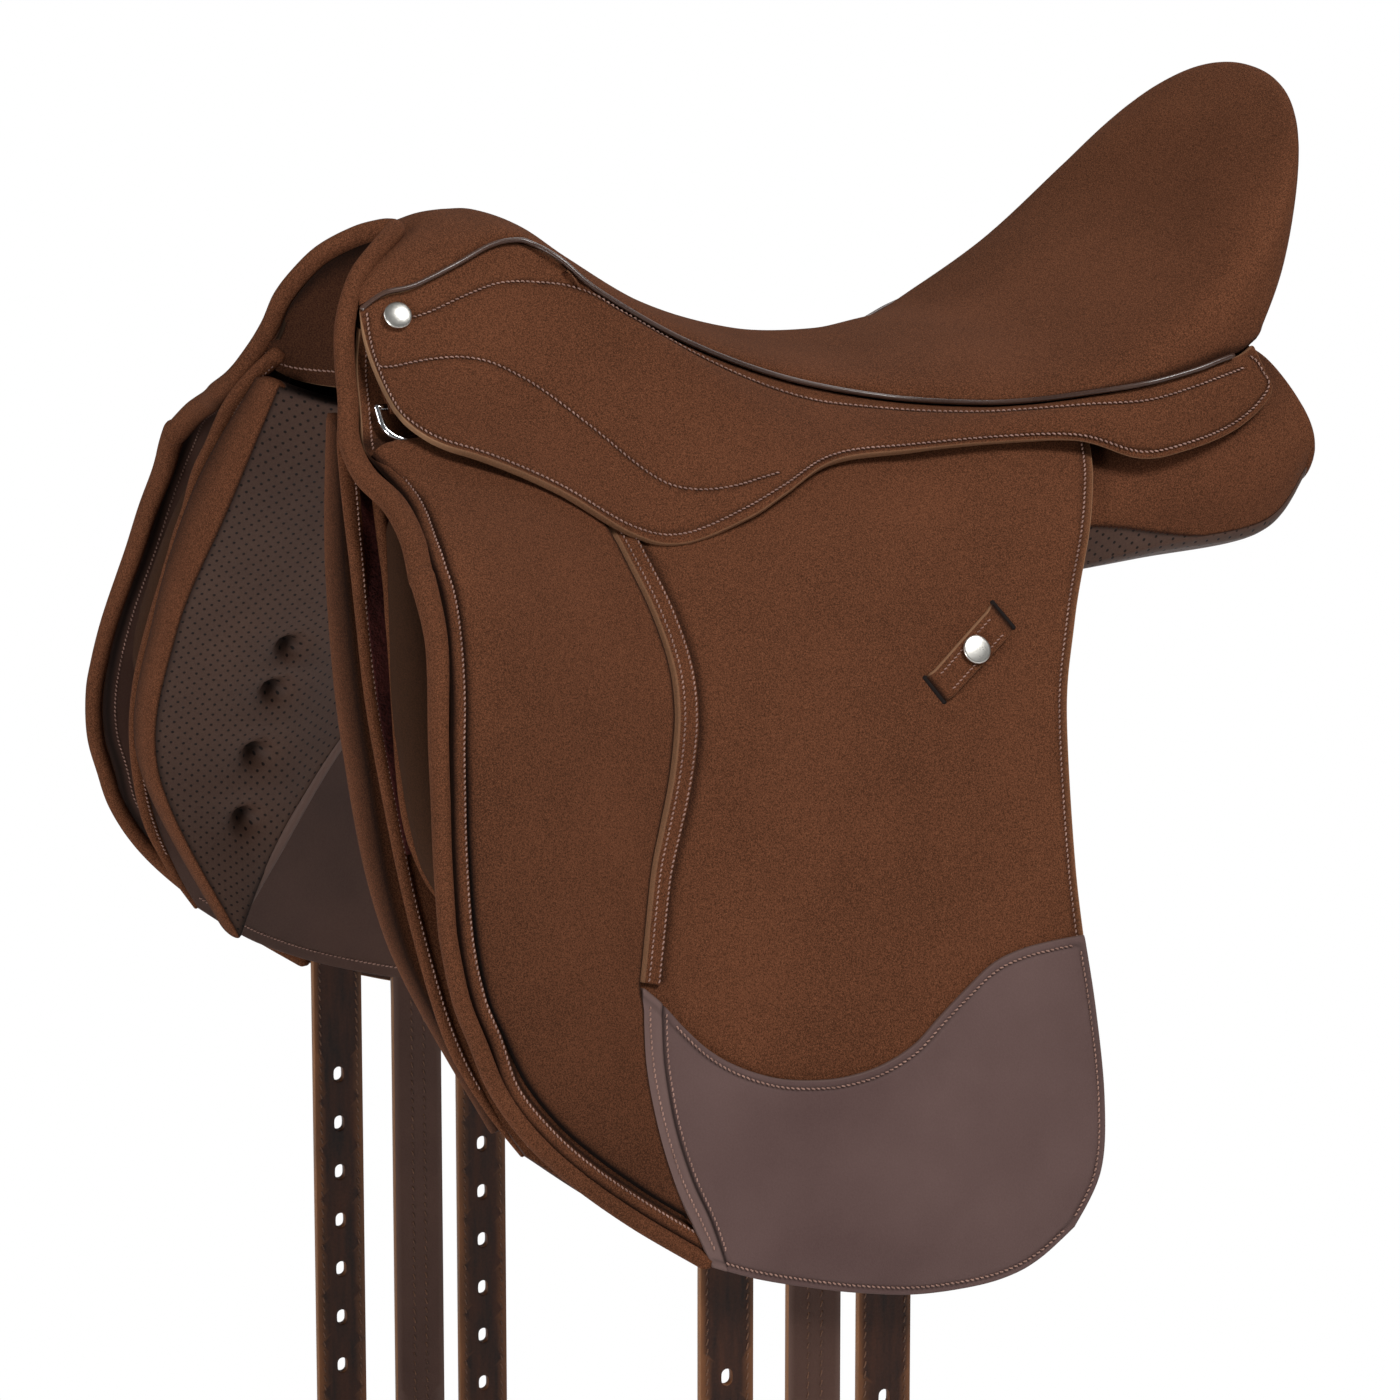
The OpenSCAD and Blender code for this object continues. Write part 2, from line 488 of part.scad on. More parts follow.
// depth of the four tufts sewn into the front of the panel
tuft_places = [[-196, -68], [-199, -92], [-203, -126], [-206, -160]];
function tuft(p) = max([for (q = tuft_places) exp(-pow(norm([p[1], p[2]] - q) / 9, 2))]);
function panel_side(stations, s, t) = spline([for (row = stations) spline(row, t)], s);
module panel() color(lining) {
    ss = concat([0, 0.03], span(0.07, 1, 15));
    ts = steps(12);
    outer = [for (s = ss) [for (t = ts) panel_side(panel_outer, s, t) + [0.75, 0, 0]]];
    inner = [for (s = ss) [for (t = ts) let (p = panel_side(panel_inner, s, t)) p + [7, 0, 2] * tuft(p)]];
    sheet(outer, inner);
}
module panel_near() panel();
module panel_off() off_side() panel();

// girth straps: [middle y, bend height, distance from the bend to the first hole]
front_strap = [-132, -272, 46];
middle_strap = [-90, -285, 216];
rear_strap = [-56, -293, 46];
strap_x = 233.6;
module strap_top(spec) {
    rows = [for (k = [-0.5, 0.5]) [for (z = concat(span(44, -250, 14), [spec[1] + strap_t / 2 + layer_gap]))
        let (y = spec[0] + k * strap_w) [sweat_x(y, z) + strip_gap, y, z]]];
    outer = [for (row = rows) [for (p = row) p + [strap_t, 0, 0]]];
    sheet(outer, rows);
}
module strap_tops() color(suede) {
    strap_top(front_strap);
    strap_top(middle_strap);
    strap_top(rear_strap);
}
module strap_tops_near() strap_tops();
module strap_tops_off() off_side() strap_tops();
module slot() {
    for (k = [-1, 1]) translate([0, k * (hole_l - hole_w) / 2]) circle(d = hole_w);
    square([hole_w, hole_l - hole_w], center = true);
}
// outline of a strap seen from the side of the saddle, and its section with the rounded bend
module strap_outline(spec) difference() {
    union() {
        translate([-strap_w / 2, strap_w / 2 - strap_drop]) square([strap_w, strap_drop - strap_w / 2 + strap_t]);
        intersection() {
            translate([0, strap_w * 0.75 - strap_drop]) circle(r = strap_w * 0.75);
            translate([-strap_w / 2, -strap_drop]) square([strap_w, strap_w]);
        }
    }
    for (k = [0:hole_count - 1]) if (spec[2] + k * hole_pitch < strap_drop - 20)
        translate([0, -spec[2] - k * hole_pitch]) slot();
}
module strap(spec) color(suede) translate([strap_x, spec[0], spec[1]]) intersection() {
    translate([-strap_t, 0, 0]) rotate([90, 0, 90]) linear_extrude(2 * strap_t) strap_outline(spec);
    union() {
        translate([0, -strap_w, 0]) rotate([-90, 0, 0]) cylinder(r = strap_t / 2, h = 2 * strap_w);
        translate([-strap_t / 2, -strap_w, -2 * strap_drop]) cube([strap_t, 2 * strap_w, 2 * strap_drop]);
    }
}
module front_strap_near() strap(front_strap);
module front_strap_off() off_side() strap(front_strap);
module middle_strap_near() strap(middle_strap);
module middle_strap_off() off_side() strap(middle_strap);
module rear_strap_near() strap(rear_strap);
module rear_strap_off() off_side() strap(rear_strap);

// stirrup bar on its plate, with the catch at its rear end
bar_at = [70, -168, 69];
plate_x = 54.8;
catch_at = bar_at + [bar_r + 1, bar_l - 4, 0];
module stirrup_bar() color(steel) {
    translate([plate_x, bar_at[1] - 8, bar_at[2] - 7.5]) cube([3, 62, 16]);
    translate([plate_x + 2.9, bar_at[1] - 8, bar_at[2] - bar_r]) cube([bar_at[0] - plate_x - 2.9, 8.1, 2 * bar_r]);
    translate(bar_at) rotate([-90, 0, 0]) cylinder(r = bar_r, h = bar_l);
    translate([bar_at[0], catch_at[1], catch_at[2]]) rotate([0, 90, 0]) cylinder(r = catch_pin_r, h = bar_r + 6);
}
module stirrup_bar_near() stirrup_bar();
module stirrup_bar_off() off_side() stirrup_bar();
module stirrup_bar_rivets() color(steel)
    for (side = [0, 1], k = [14, 44]) mirror([side, 0, 0])
        translate([plate_x + 3.1, bar_at[1] + k, bar_at[2] + 2]) rotate([0, 90, 0]) cylinder(r = 3.5, h = 1.8);
module bar_catch() color(steel)
    translate(catch_at) rotate([0, 90, 0]) linear_extrude(3.6) difference() {
        union() {
            circle(r = 4.4);
            translate([-3, 0]) square([6, 14]);
            translate([0, 14]) circle(r = 3);
        }
        circle(r = catch_pin_r + 0.15);
    }
module bar_catch_near() bar_catch();
module bar_catch_off() off_side() bar_catch();

// front dee in its tab, lying on the top of the flap
dee_at = [66.5, -214, 88.5];
dee_lean = 42;
tab_bore = dee_wire_r + 0.3;
module dee_frame() translate(dee_at) rotate([0, -dee_lean, 0]) children();
module dee_tab() color(suede) dee_frame() {
    rotate([-90, 0, 0]) difference() {
        translate([0, 0, -5]) cylinder(r = tab_bore + 1.6, h = 10);
        translate([0, 0, -6]) cylinder(r = tab_bore, h = 12);
    }
    translate([-tab_bore - 0.2, -5, 2.4]) cube([1.4, 10, 12]);
}
module dee_tab_near() dee_tab();
module dee_tab_off() off_side() dee_tab();
module dee() color(steel) dee_frame() {
    translate([0, -dee_w / 2, 0]) rotate([-90, 0, 0]) cylinder(r = dee_wire_r, h = dee_w);
    for (k = [-1, 1]) translate([0, k * dee_w / 2, -7]) cylinder(r = dee_wire_r, h = 7);
    for (k = [-1, 1]) translate([0, k * dee_w / 2, 0]) sphere(r = dee_wire_r);
    translate([0, 0, -7]) rotate([0, 90, 0]) rotate([0, 0, -90]) rotate_extrude(angle = 180)
        translate([dee_w / 2, 0]) circle(r = dee_wire_r);
}
module dee_near() dee();
module dee_off() off_side() dee();

tree();
tree_rails();
gullet_plate();
gullet_screws();
seat_foam();
seat_cover();
piping_near();
piping_off();
pommel_roll();
pommel_facing();
channel_lining();
cantle_facing();
girth_webs();
nail_buttons();
stirrup_bar_rivets();
skirt_near();
skirt_off();
skirt_lobe_near();
skirt_lobe_off();
flap_top_near();
flap_top_off();
flap_near();
flap_off();
flap_roll_near();
flap_roll_off();
knee_pad_near();
knee_pad_off();
seam_band_near();
seam_band_off();
grip_patch_near();
grip_patch_off();
keeper_near();
keeper_off();
keeper_stud_near();
keeper_stud_off();
sweat_flap_near();
sweat_flap_off();
loop_strip_near();
loop_strip_off();
knee_block_near();
knee_block_off();
panel_near();
panel_off();
strap_tops_near();
strap_tops_off();
front_strap_near();
front_strap_off();
middle_strap_near();
middle_strap_off();
rear_strap_near();
rear_strap_off();
stirrup_bar_near();
stirrup_bar_off();
bar_catch_near();
bar_catch_off();
dee_tab_near();
dee_tab_off();
dee_near();
dee_off();
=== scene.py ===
import bpy
import numpy as np
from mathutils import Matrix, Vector


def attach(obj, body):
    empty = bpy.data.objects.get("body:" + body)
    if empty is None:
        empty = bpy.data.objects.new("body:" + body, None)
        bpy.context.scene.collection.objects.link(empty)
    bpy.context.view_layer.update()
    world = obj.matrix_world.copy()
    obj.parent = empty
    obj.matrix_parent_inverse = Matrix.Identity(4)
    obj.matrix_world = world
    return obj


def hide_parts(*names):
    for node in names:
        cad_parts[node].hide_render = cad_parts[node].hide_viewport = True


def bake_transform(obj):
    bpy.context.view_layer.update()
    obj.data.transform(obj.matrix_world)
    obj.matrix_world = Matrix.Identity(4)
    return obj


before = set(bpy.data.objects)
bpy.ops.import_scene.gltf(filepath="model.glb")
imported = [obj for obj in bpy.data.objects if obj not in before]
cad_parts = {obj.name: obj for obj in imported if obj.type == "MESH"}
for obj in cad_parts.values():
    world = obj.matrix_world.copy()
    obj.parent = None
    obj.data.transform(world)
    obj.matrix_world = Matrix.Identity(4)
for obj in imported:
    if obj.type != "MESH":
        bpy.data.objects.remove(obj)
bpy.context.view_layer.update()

scene = bpy.context.scene
sides = {"near": 1.0, "off": -1.0}


# curves and grids, in millimetres in the part's frame
# 0 to 1 with flat ends: k squared times 3 less 2k
def ease(t):
    k = np.clip(t, 0, 1)
    return k * k * (3 - 2 * k)


def mix(a, b, t):
    return a + (b - a) * t


# bell of the given width
def bell(distance, width):
    return np.exp(-(distance / width) ** 2)


def unit(v):
    return v / np.maximum(np.linalg.norm(v, axis=-1, keepdims=True), 1e-9)


# cubic from b to c, whose slope at each of them is half the way between its neighbours
def cubic(a, b, c, d, t):
    return b + 0.5 * t * ((c - a) + t * (2 * a - 5 * b + 4 * c - d + t * (3 * (b - c) + d - a)))


# smooth curve through points
def spline(points, u):
    p = np.asarray(points, float)
    last = len(p) - 1
    x = np.clip(np.asarray(u, float), 0, 1) * last
    k = np.minimum(x.astype(int), last - 1)
    return cubic(p[np.maximum(k - 1, 0)], p[k], p[k + 1], p[np.minimum(k + 2, last)], (x - k)[..., None])


# smooth value at x from rows of x and value: a cubic whose slope at a row comes from the rows beside it
def valueAt(rows, x):
    r = np.asarray(rows, float)
    n = np.arange(len(r))
    low, high = r[np.maximum(n - 1, 0)], r[np.minimum(n + 1, len(r) - 1)]
    slope = (high[:, 1] - low[:, 1]) / (high[:, 0] - low[:, 0])
    at = np.clip(x, r[0, 0], r[-1, 0])
    k = np.clip(np.searchsorted(r[:, 0], at, side="right") - 1, 0, len(r) - 2)
    step = r[k + 1, 0] - r[k, 0]
    t = (at - r[k, 0]) / step
    v0, v1, m0, m1 = r[k, 1], r[k + 1, 1], slope[k] * step, slope[k + 1] * step
    return v0 + t * (m0 + t * (3 * (v1 - v0) - 2 * m0 - m1 + t * (2 * (v0 - v1) + m0 + m1)))


# patch between four edges: the two blends of facing edges, less the blend of the corners
def patch(top, bottom, front, rear, s, t):
    top, bottom = np.asarray(top, float), np.asarray(bottom, float)
    a, b = s[..., None], t[..., None]
    corners = mix(mix(top[0], top[-1], a), mix(bottom[0], bottom[-1], a), b)
    return mix(spline(top, s), spline(bottom, s), b) + mix(spline(front, t), spline(rear, t), a) - corners


def lattice(rows, cols, a=0.0, b=1.0, c=0.0, d=1.0):
    return np.meshgrid(np.linspace(a, b, rows), np.linspace(c, d, cols), indexing="ij")


# the same curves with evenly spaced points: each row is read again at equal shares of its length
def evenColumns(grid, count):
    step = np.linalg.norm(np.diff(grid, axis=1), axis=-1)
    length = np.concatenate([np.zeros((len(grid), 1)), np.cumsum(step, 1)], 1)
    length /= length[:, -1:]
    want = np.linspace(0, 1, count)
    k = np.clip((length[:, None, :] <= want[None, :, None]).sum(-1) - 1, 0, grid.shape[1] - 2)
    low, high = np.take_along_axis(length, k, 1), np.take_along_axis(length, k + 1, 1)
    t = ((want - low) / np.maximum(high - low, 1e-9))[..., None]
    a, b = np.take_along_axis(grid, k[..., None], 1), np.take_along_axis(grid, (k + 1)[..., None], 1)
    return mix(a, b, t)


def evenLine(line, count):
    return evenColumns(np.asarray(line, float)[None], count)[0]


# smooth curve through points, read at equal steps
def evenly(points, count):
    return evenLine(spline(points, np.linspace(0, 1, 12 * len(points))), count)


def evenRows(grid, count):
    return evenColumns(grid.transpose(1, 0, 2), count).transpose(1, 0, 2)


# outward direction of a grid whose rows run to the rear and whose columns run down
def normalsOf(grid):
    return unit(np.cross(np.gradient(grid, axis=1), np.gradient(grid, axis=0)))


# shortest distance from each point to a line of points, on all its steps at once
def lineDistance(points, line):
    a, d = line[:-1], np.diff(line, axis=0)
    away = points[..., None, :] - a
    t = np.clip((away * d).sum(-1) / np.maximum((d * d).sum(-1), 1e-9), 0, 1)
    return np.linalg.norm(away - t[..., None] * d, axis=-1).min(-1)


# closed sheet between two grids: both skins, and a rim of loops along half an oval between their borders
def shell(outer, inner, depth=1.0, square=1.0, loops=5):
    rows, cols = outer.shape[:2]
    count = rows * cols
    index = np.arange(count).reshape(rows, cols)
    loop = np.concatenate([index[0], index[1:, -1], index[-1, -2::-1], index[-2:0:-1, 0]])
    a = index[:-1, :-1].ravel()
    skin = np.stack([a, a + 1, a + cols + 1, a + cols], -1)
    o, n = outer.reshape(-1, 3)[loop], inner.reshape(-1, 3)[loop]
    half = (o - n) / 2
    along = np.roll(o + n, -1, 0) - np.roll(o + n, 1, 0)
    away = unit(np.cross(along, half)) * np.linalg.norm(half, axis=1, keepdims=True) * depth
    angle = np.pi * (np.arange(loops) + 1) / (loops + 1)
    c = np.sign(np.cos(angle)) * abs(np.cos(angle)) ** square
    s = np.sin(angle) ** square
    rim = (o + n) / 2 + half * c[:, None, None] + away * s[:, None, None]
    ring = np.concatenate([loop[None], 2 * count + np.arange(rim.size // 3).reshape(loops, -1), loop[None] + count])
    following = np.roll(ring, -1, 1)
    wall = np.stack([following[:-1], ring[:-1], ring[1:], following[1:]], -1).reshape(-1, 4)
    return {
        "points": np.concatenate([outer.reshape(-1, 3), inner.reshape(-1, 3), rim.reshape(-1, 3)]),
        "quads": np.concatenate([skin, skin[:, ::-1] + count, wall]),
        "group": np.repeat([0, 1, 2], [len(skin), len(skin), len(wall)]),
        "loop": loop, "loops": loops, "count": count,
    }


# a mark given on the outer skin, carried to the inner skin and the rim
def onShell(form, mark, inside=1.0, rim=1.0):
    flat = mark.reshape(form["count"], -1)
    return np.concatenate([flat, flat * inside, np.tile(flat[form["loop"]] * rim, (form["loops"], 1))]).squeeze()


# 1 on the rim, 0 on the skins
def rimMark(form):
    return np.repeat([0.0, 1.0], [2 * form["count"], form["loops"] * len(form["loop"])])


# skin over rings of points, one after the other, with a face at each end
def ringSkin(ring):
    index = np.arange(ring.shape[0] * ring.shape[1]).reshape(ring.shape[:2])
    beside = np.roll(index, -1, 1)
    quads = np.stack([index[:-1], beside[:-1], beside[1:], index[1:]], -1).reshape(-1, 4)
    return {"points": ring.reshape(-1, 3), "quads": quads, "ends": [index[0][::-1].tolist(), index[-1].tolist()]}


# oval tube along a line: the section's two half widths lie across and up, and the ends close to a small cap
def tube(line, half, rise, up, around=14):
    line = np.asarray(line, float)
    count = len(line)
    half, rise = np.broadcast_to(half, count).astype(float), np.broadcast_to(rise, count).astype(float)
    along = unit(np.gradient(line, axis=0))
    across = unit(np.cross(along, np.broadcast_to(up, line.shape)))
    over = np.cross(along, across)
    end = np.array([0.2, 0.7, 1.0])
    k, reach = np.sqrt(1 - (1 - end) ** 2), 1 - end
    pick = np.concatenate([[0, 0, 0], np.arange(count), [-1, -1, -1]])
    shrink = np.concatenate([k, np.ones(count), k[::-1]])
    push = np.concatenate([-reach, np.zeros(count), reach[::-1]]) * half[pick]
    middle = line[pick] + along[pick] * push[:, None]
    angle = 2 * np.pi * np.arange(around) / around
    wide, high = (half[pick] * shrink)[:, None] * np.cos(angle), (rise[pick] * shrink)[:, None] * np.sin(angle)
    return ringSkin(middle[:, None] + across[pick][:, None] * wide[..., None] + over[pick][:, None] * high[..., None])


# one direction for each point of a row
def spread(direction, count):
    return np.broadcast_to(unit(np.asarray(direction, float)), (count, 3))


# row of sewn stitches: short bowed capsules at equal steps along a line that lies on a surface
def stitches(line, normals, look):
    step = np.linalg.norm(np.diff(line, axis=0), axis=1)
    length = np.concatenate([[0], np.cumsum(step)])
    count = max(1, int(length[-1] // look["pitch"]))
    share = np.array([0.0, 0.12, 0.5, 0.88, 1.0])
    thick = np.array([0.45, 0.85, 1.0, 0.85, 0.45]) * look["radius"]
    lift = np.array([-0.7, 0.2, 0.6, 0.2, -0.7]) * look["radius"]
    pitch = length[-1] / count
    at = (np.arange(count)[:, None] + 0.5 + (share - 0.5) * look["cover"]) * pitch
    read = lambda v: np.stack([np.interp(at, length, v[:, k]) for k in range(3)], -1)
    middle, over = read(line), unit(read(normals))
    along = unit(np.gradient(middle, axis=1))
    across = unit(np.cross(along, over))
    middle = middle + over * lift[:, None] + across * ((share - 0.5) * look["slant"] * pitch)[:, None]
    angle = np.pi * np.arange(6) / 3
    ring = middle[:, :, None] + thick[:, None, None] * (
        across[:, :, None] * np.cos(angle)[:, None] + over[:, :, None] * np.sin(angle)[:, None])
    index = np.arange(count * 30).reshape(count, 5, 6)
    beside = np.roll(index, -1, 2)
    walls = np.stack([index[:, :-1], index[:, 1:], beside[:, 1:], beside[:, :-1]], -1).reshape(-1, 4)
    caps = [index[:, 0][:, [0, 1, 2, 3]], index[:, 0][:, [0, 3, 4, 5]],
            index[:, 4][:, [3, 2, 1, 0]], index[:, 4][:, [5, 4, 3, 0]]]
    return {"points": ring.reshape(-1, 3), "quads": np.concatenate([walls, *caps])}


# turned piece: a profile of radius and height carried round an axis
def turned(profile, place, axis, around=32):
    profile, axis = np.asarray(profile, float), unit(np.asarray(axis, float))
    across = unit(np.cross(axis, [0.3, 0.9, 0.1]))
    over = np.cross(axis, across)
    angle = 2 * np.pi * np.arange(around) / around
    spoke = across * np.cos(angle)[:, None] + over * np.sin(angle)[:, None]
    return ringSkin(np.asarray(place, float) + profile[:, None, :1] * spoke + profile[:, None, 1:] * axis)


# several forms as one
def together(forms):
    start = np.cumsum([0] + [len(f["points"]) for f in forms])
    return {
        "points": np.concatenate([f["points"] for f in forms]),
        "quads": np.concatenate([f["quads"] + k for f, k in zip(forms, start)]),
        "ends": [[v + int(k) for v in end] for f, k in zip(forms, start) for end in f.get("ends", [])],
    }


# form on the off side: turned over, with its faces turned round
def mirrored(form):
    return {"points": form["points"] * [-1, 1, 1], "quads": form["quads"][:, ::-1],
            "ends": [end[::-1] for end in form.get("ends", [])]}


# mesh object from a form, turned over to the off side where asked
def addPiece(name, form, finishes, way=1.0, marks=None, group=None):
    form = mirrored(form) if way < 0 else form
    ends = form.get("ends", [])
    mesh = bpy.data.meshes.new(name)
    mesh.from_pydata((form["points"] / 1000).tolist(), [], form["quads"].tolist() + ends)
    for key, values in (marks or {}).items():
        kind, field = ("FLOAT", "value") if values.ndim == 1 else ("FLOAT_VECTOR", "vector")
        mesh.attributes.new(key, kind, "POINT").data.foreach_set(field, values.astype(np.float32).ravel())
    for finish in finishes if isinstance(finishes, list) else [finishes]:
        mesh.materials.append(finish)
    if group is not None:
        slots = np.concatenate([group, np.zeros(len(ends), int)]).astype(np.int32)
        mesh.polygons.foreach_set("material_index", slots)
    mesh.shade_smooth()
    piece = bpy.data.objects.new(name, mesh)
    scene.collection.objects.link(piece)
    return piece


# attaches a piece to the body it moves with, or, where a bend is given, only bakes its transform; hides the CAD nodes
# it stands for; its slot and fill are taken but not used
def finishPiece(piece, slot, nodes=(), ride="saddle", bend=None, fill=None):
    if bend:
        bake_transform(piece)
    else:
        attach(piece, ride)
    if nodes:
        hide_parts(*nodes)


def makePiece(name, form, finishes, slot, nodes=(), way=1.0, marks=None, group=None, **hold):
    finishPiece(addPiece(name, form, finishes, way, marks, group), slot, nodes, **hold)


# point in metres on the near or off side
def metres(way, x, y, z):
    return (way * x / 1000, y / 1000, z / 1000)


# finishes
def tone(red, green, blue):
    c = np.array([red, green, blue]) / 255
    linear = np.where(c <= 0.04045, c / 12.92, ((c + 0.055) / 1.055) ** 2.4)
    return (float(linear[0]), float(linear[1]), float(linear[2]), 1.0)


# a socket whose sums become Math nodes
class Wire:
    def __init__(self, finish, socket):
        self.finish, self.socket = finish, socket

    def sum(self, kind, a, b=0.0):
        return self.finish.node("ShaderNodeMath", {"operation": kind}, {0: a, 1: b})

    __add__ = lambda self, other: self.sum("ADD", self, other)
    __radd__ = lambda self, other: self.sum("ADD", other, self)
    __sub__ = lambda self, other: self.sum("SUBTRACT", self, other)
    __rsub__ = lambda self, other: self.sum("SUBTRACT", other, self)
    __mul__ = lambda self, other: self.sum("MULTIPLY", self, other)
    __truediv__ = lambda self, other: self.sum("DIVIDE", self, other)
    __pow__ = lambda self, other: self.sum("POWER", self, other)
    part = lambda self: self.sum("FRACT", self)
    wave = lambda self: self.sum("SINE", self)

    def held(self):
        return self.finish.node("ShaderNodeClamp", {}, {"Value": self})


class Finish:
    def __init__(self, name):
        self.material = bpy.data.materials.new(name)
        self.material.use_nodes = True
        self.tree = self.material.node_tree
        self.tree.nodes.clear()

    # any node: its type, its settings, then its sockets' values or links
    def node(self, kind, settings=None, sockets=None, out=0):
        made = self.tree.nodes.new(kind)
        for key, value in (settings or {}).items():
            setattr(made, key, value)
        for key, value in (sockets or {}).items():
            if isinstance(value, Wire):
                self.tree.links.new(value.socket, made.inputs[key])
            else:
                made.inputs[key].default_value = value
        return Wire(self, made.outputs[out])

    def spot(self):
        return self.node("ShaderNodeTexCoord", out="Object")

    def noise(self, place, scale, detail, rough=0.55):
        sockets = {"Vector": place, "Scale": scale, "Detail": detail, "Roughness": rough}
        return self.node("ShaderNodeTexNoise", {}, sockets)

    def mark(self, name):
        return self.node("ShaderNodeAttribute", {"attribute_name": name}, out="Fac")

    def mixed(self, share, a, b):
        return self.node("ShaderNodeMix", {"data_type": "RGBA"}, {0: share, 6: a, 7: b}, out=2)

    def raised(self, height, strength, distance):
        return self.node("ShaderNodeBump", {}, {"Strength": strength, "Distance": distance, "Height": height})

    def surface(self, sockets):
        shader = self.node("ShaderNodeBsdfPrincipled", {}, sockets)
        output = self.tree.nodes.new("ShaderNodeOutputMaterial")
        self.tree.links.new(shader.socket, output.inputs["Surface"])
        return self.material


# brushed nubuck: clouds, nap and pale flecks, lighter where edges are worn and where light is painted in, painted shade
# near black in creases, seams and recesses, tan where it is cut
def suedeFinish(name, look):
    f = Finish(name)
    spot = f.spot()
    cloud, nap, fleck = f.noise(spot, look["cloud"], 4), f.noise(spot, look["nap"], 5), f.noise(spot, look["fleck"], 2)
    grain = 0.5 + (cloud - 0.5) * look["cloudy"] + (nap - 0.5) * look["napped"] + (fleck - 0.5) * look["flecked"]
    colour = f.mixed(grain.held(), look["deep"], look["light"])
    colour = f.mixed(((fleck - 0.6) * 7).held() * look["flecks"], colour, look["pale"])
    colour = f.mixed((f.mark("wear") * (0.55 + nap * 0.5)).held(), colour, look["pale"])
    colour = f.mixed((f.mark("edge") * 0.9).held(), colour, look["cut"])
    # painted shade: the shade mark pulls the colour towards the near-black shade tone
    colour = f.mixed((f.mark("shade") * 0.95).held(), colour, look["crease"])
    return f.surface({
        "Base Color": colour, "Roughness": 0.9 + (nap - 0.5) * 0.2, "Specular IOR Level": 0.08,
        "Normal": f.raised(nap * 0.7 + fleck * 0.45, look["raise"], 0.0007),
        "Sheen Weight": look["sheen"], "Sheen Roughness": 0.5, "Sheen Tint": look["pale"]})


# dressed leather: fine pebbles from two noises, a slight shine, painted shade from the shade mark, and rows of punched
# holes where the pitch is given, painted dark in the shade tone for the shade inside them
def leatherFinish(name, look):
    f = Finish(name)
    spot = f.spot()
    cloud, pebble = f.noise(spot, 14, 3), f.noise(spot, look["pebble"], 3)
    fine = f.noise(spot, look["pebble"] * 3.1, 2)
    grain = 0.5 + (cloud - 0.5) * 1.6 + (pebble - 0.5) * look["mottle"]
    colour = f.mixed(grain.held(), look["deep"], look["light"])
    colour = f.mixed((f.mark("wear") * 0.8).held(), colour, look["pale"])
    colour = f.mixed((f.mark("edge") * 0.9).held(), colour, look["cut"])
    height = pebble * 0.6 + fine * 0.4
    if "holes" in look:
        place = f.node("ShaderNodeAttribute", {"attribute_name": "place"}, out="Vector")
        a = f.node("ShaderNodeSeparateXYZ", {}, {0: place}, out=0)
        b = f.node("ShaderNodeSeparateXYZ", {}, {0: place}, out=1)
        x, y = ((a + b) / look["holes"]).part() - 0.5, ((a - b) / look["holes"]).part() - 0.5
        # each hole is painted dark in the shade tone, for the shade inside it
        hole = ((look["holeSize"] - (x * x + y * y) ** 0.5) * 14).held()
        colour = f.mixed(hole * 0.92, colour, look["crease"])
        height = height - hole * 3.0
    colour = f.mixed((f.mark("shade") * 0.95).held(), colour, look["crease"])
    return f.surface({
        "Base Color": colour,
        "Roughness": (look["rough"] + (cloud - 0.5) * 0.25 + f.mark("shade") * 0.3).held(),
        "Specular IOR Level": look["gloss"], "Normal": f.raised(height, look["raise"], 0.0006)})


# waxed strap leather: long streaks down the strap, darker worn faces, tan edges
def strapFinish(name, look):
    f = Finish(name)
    spot = f.node("ShaderNodeMapping", {}, {0: f.spot(), 3: (60.0, 60.0, 9.0)})
    streak, grain = f.noise(spot, 3.0, 5), f.noise(f.spot(), 700, 4)
    colour = f.mixed((0.5 + (streak - 0.5) * 2.4 + (grain - 0.5) * 0.8).held(), look["deep"], look["light"])
    colour = f.mixed((f.mark("wear") * (0.3 + streak)).held(), colour, look["pale"])
    colour = f.mixed((f.mark("edge") * 0.85).held(), colour, look["cut"])
    colour = f.mixed((f.mark("shade") * 0.95).held(), colour, look["crease"])
    return f.surface({
        "Base Color": colour, "Roughness": (0.42 + (streak - 0.5) * 0.6).held(), "Specular IOR Level": 0.2,
        "Normal": f.raised(grain * 0.6 + streak * 0.4, 0.3, 0.0006)})


# metal with fine scratches: a noise drawn out along one direction
def metalFinish(name, look):
    f = Finish(name)
    spot = f.node("ShaderNodeMapping", {}, {0: f.spot(), 3: (40.0, 500.0, 500.0)})
    scratch, cloud = f.noise(spot, 3.0, 3), f.noise(f.spot(), 120, 3)
    colour = f.mixed((0.5 + (cloud - 0.5) * 1.5).held(), look["deep"], look["light"])
    return f.surface({
        "Base Color": colour, "Metallic": 1.0,
        "Roughness": (look["rough"] + (scratch - 0.5) * 0.2 + (cloud - 0.5) * 0.15).held(),
        "Normal": f.raised(scratch, look["raise"], 0.0002)})


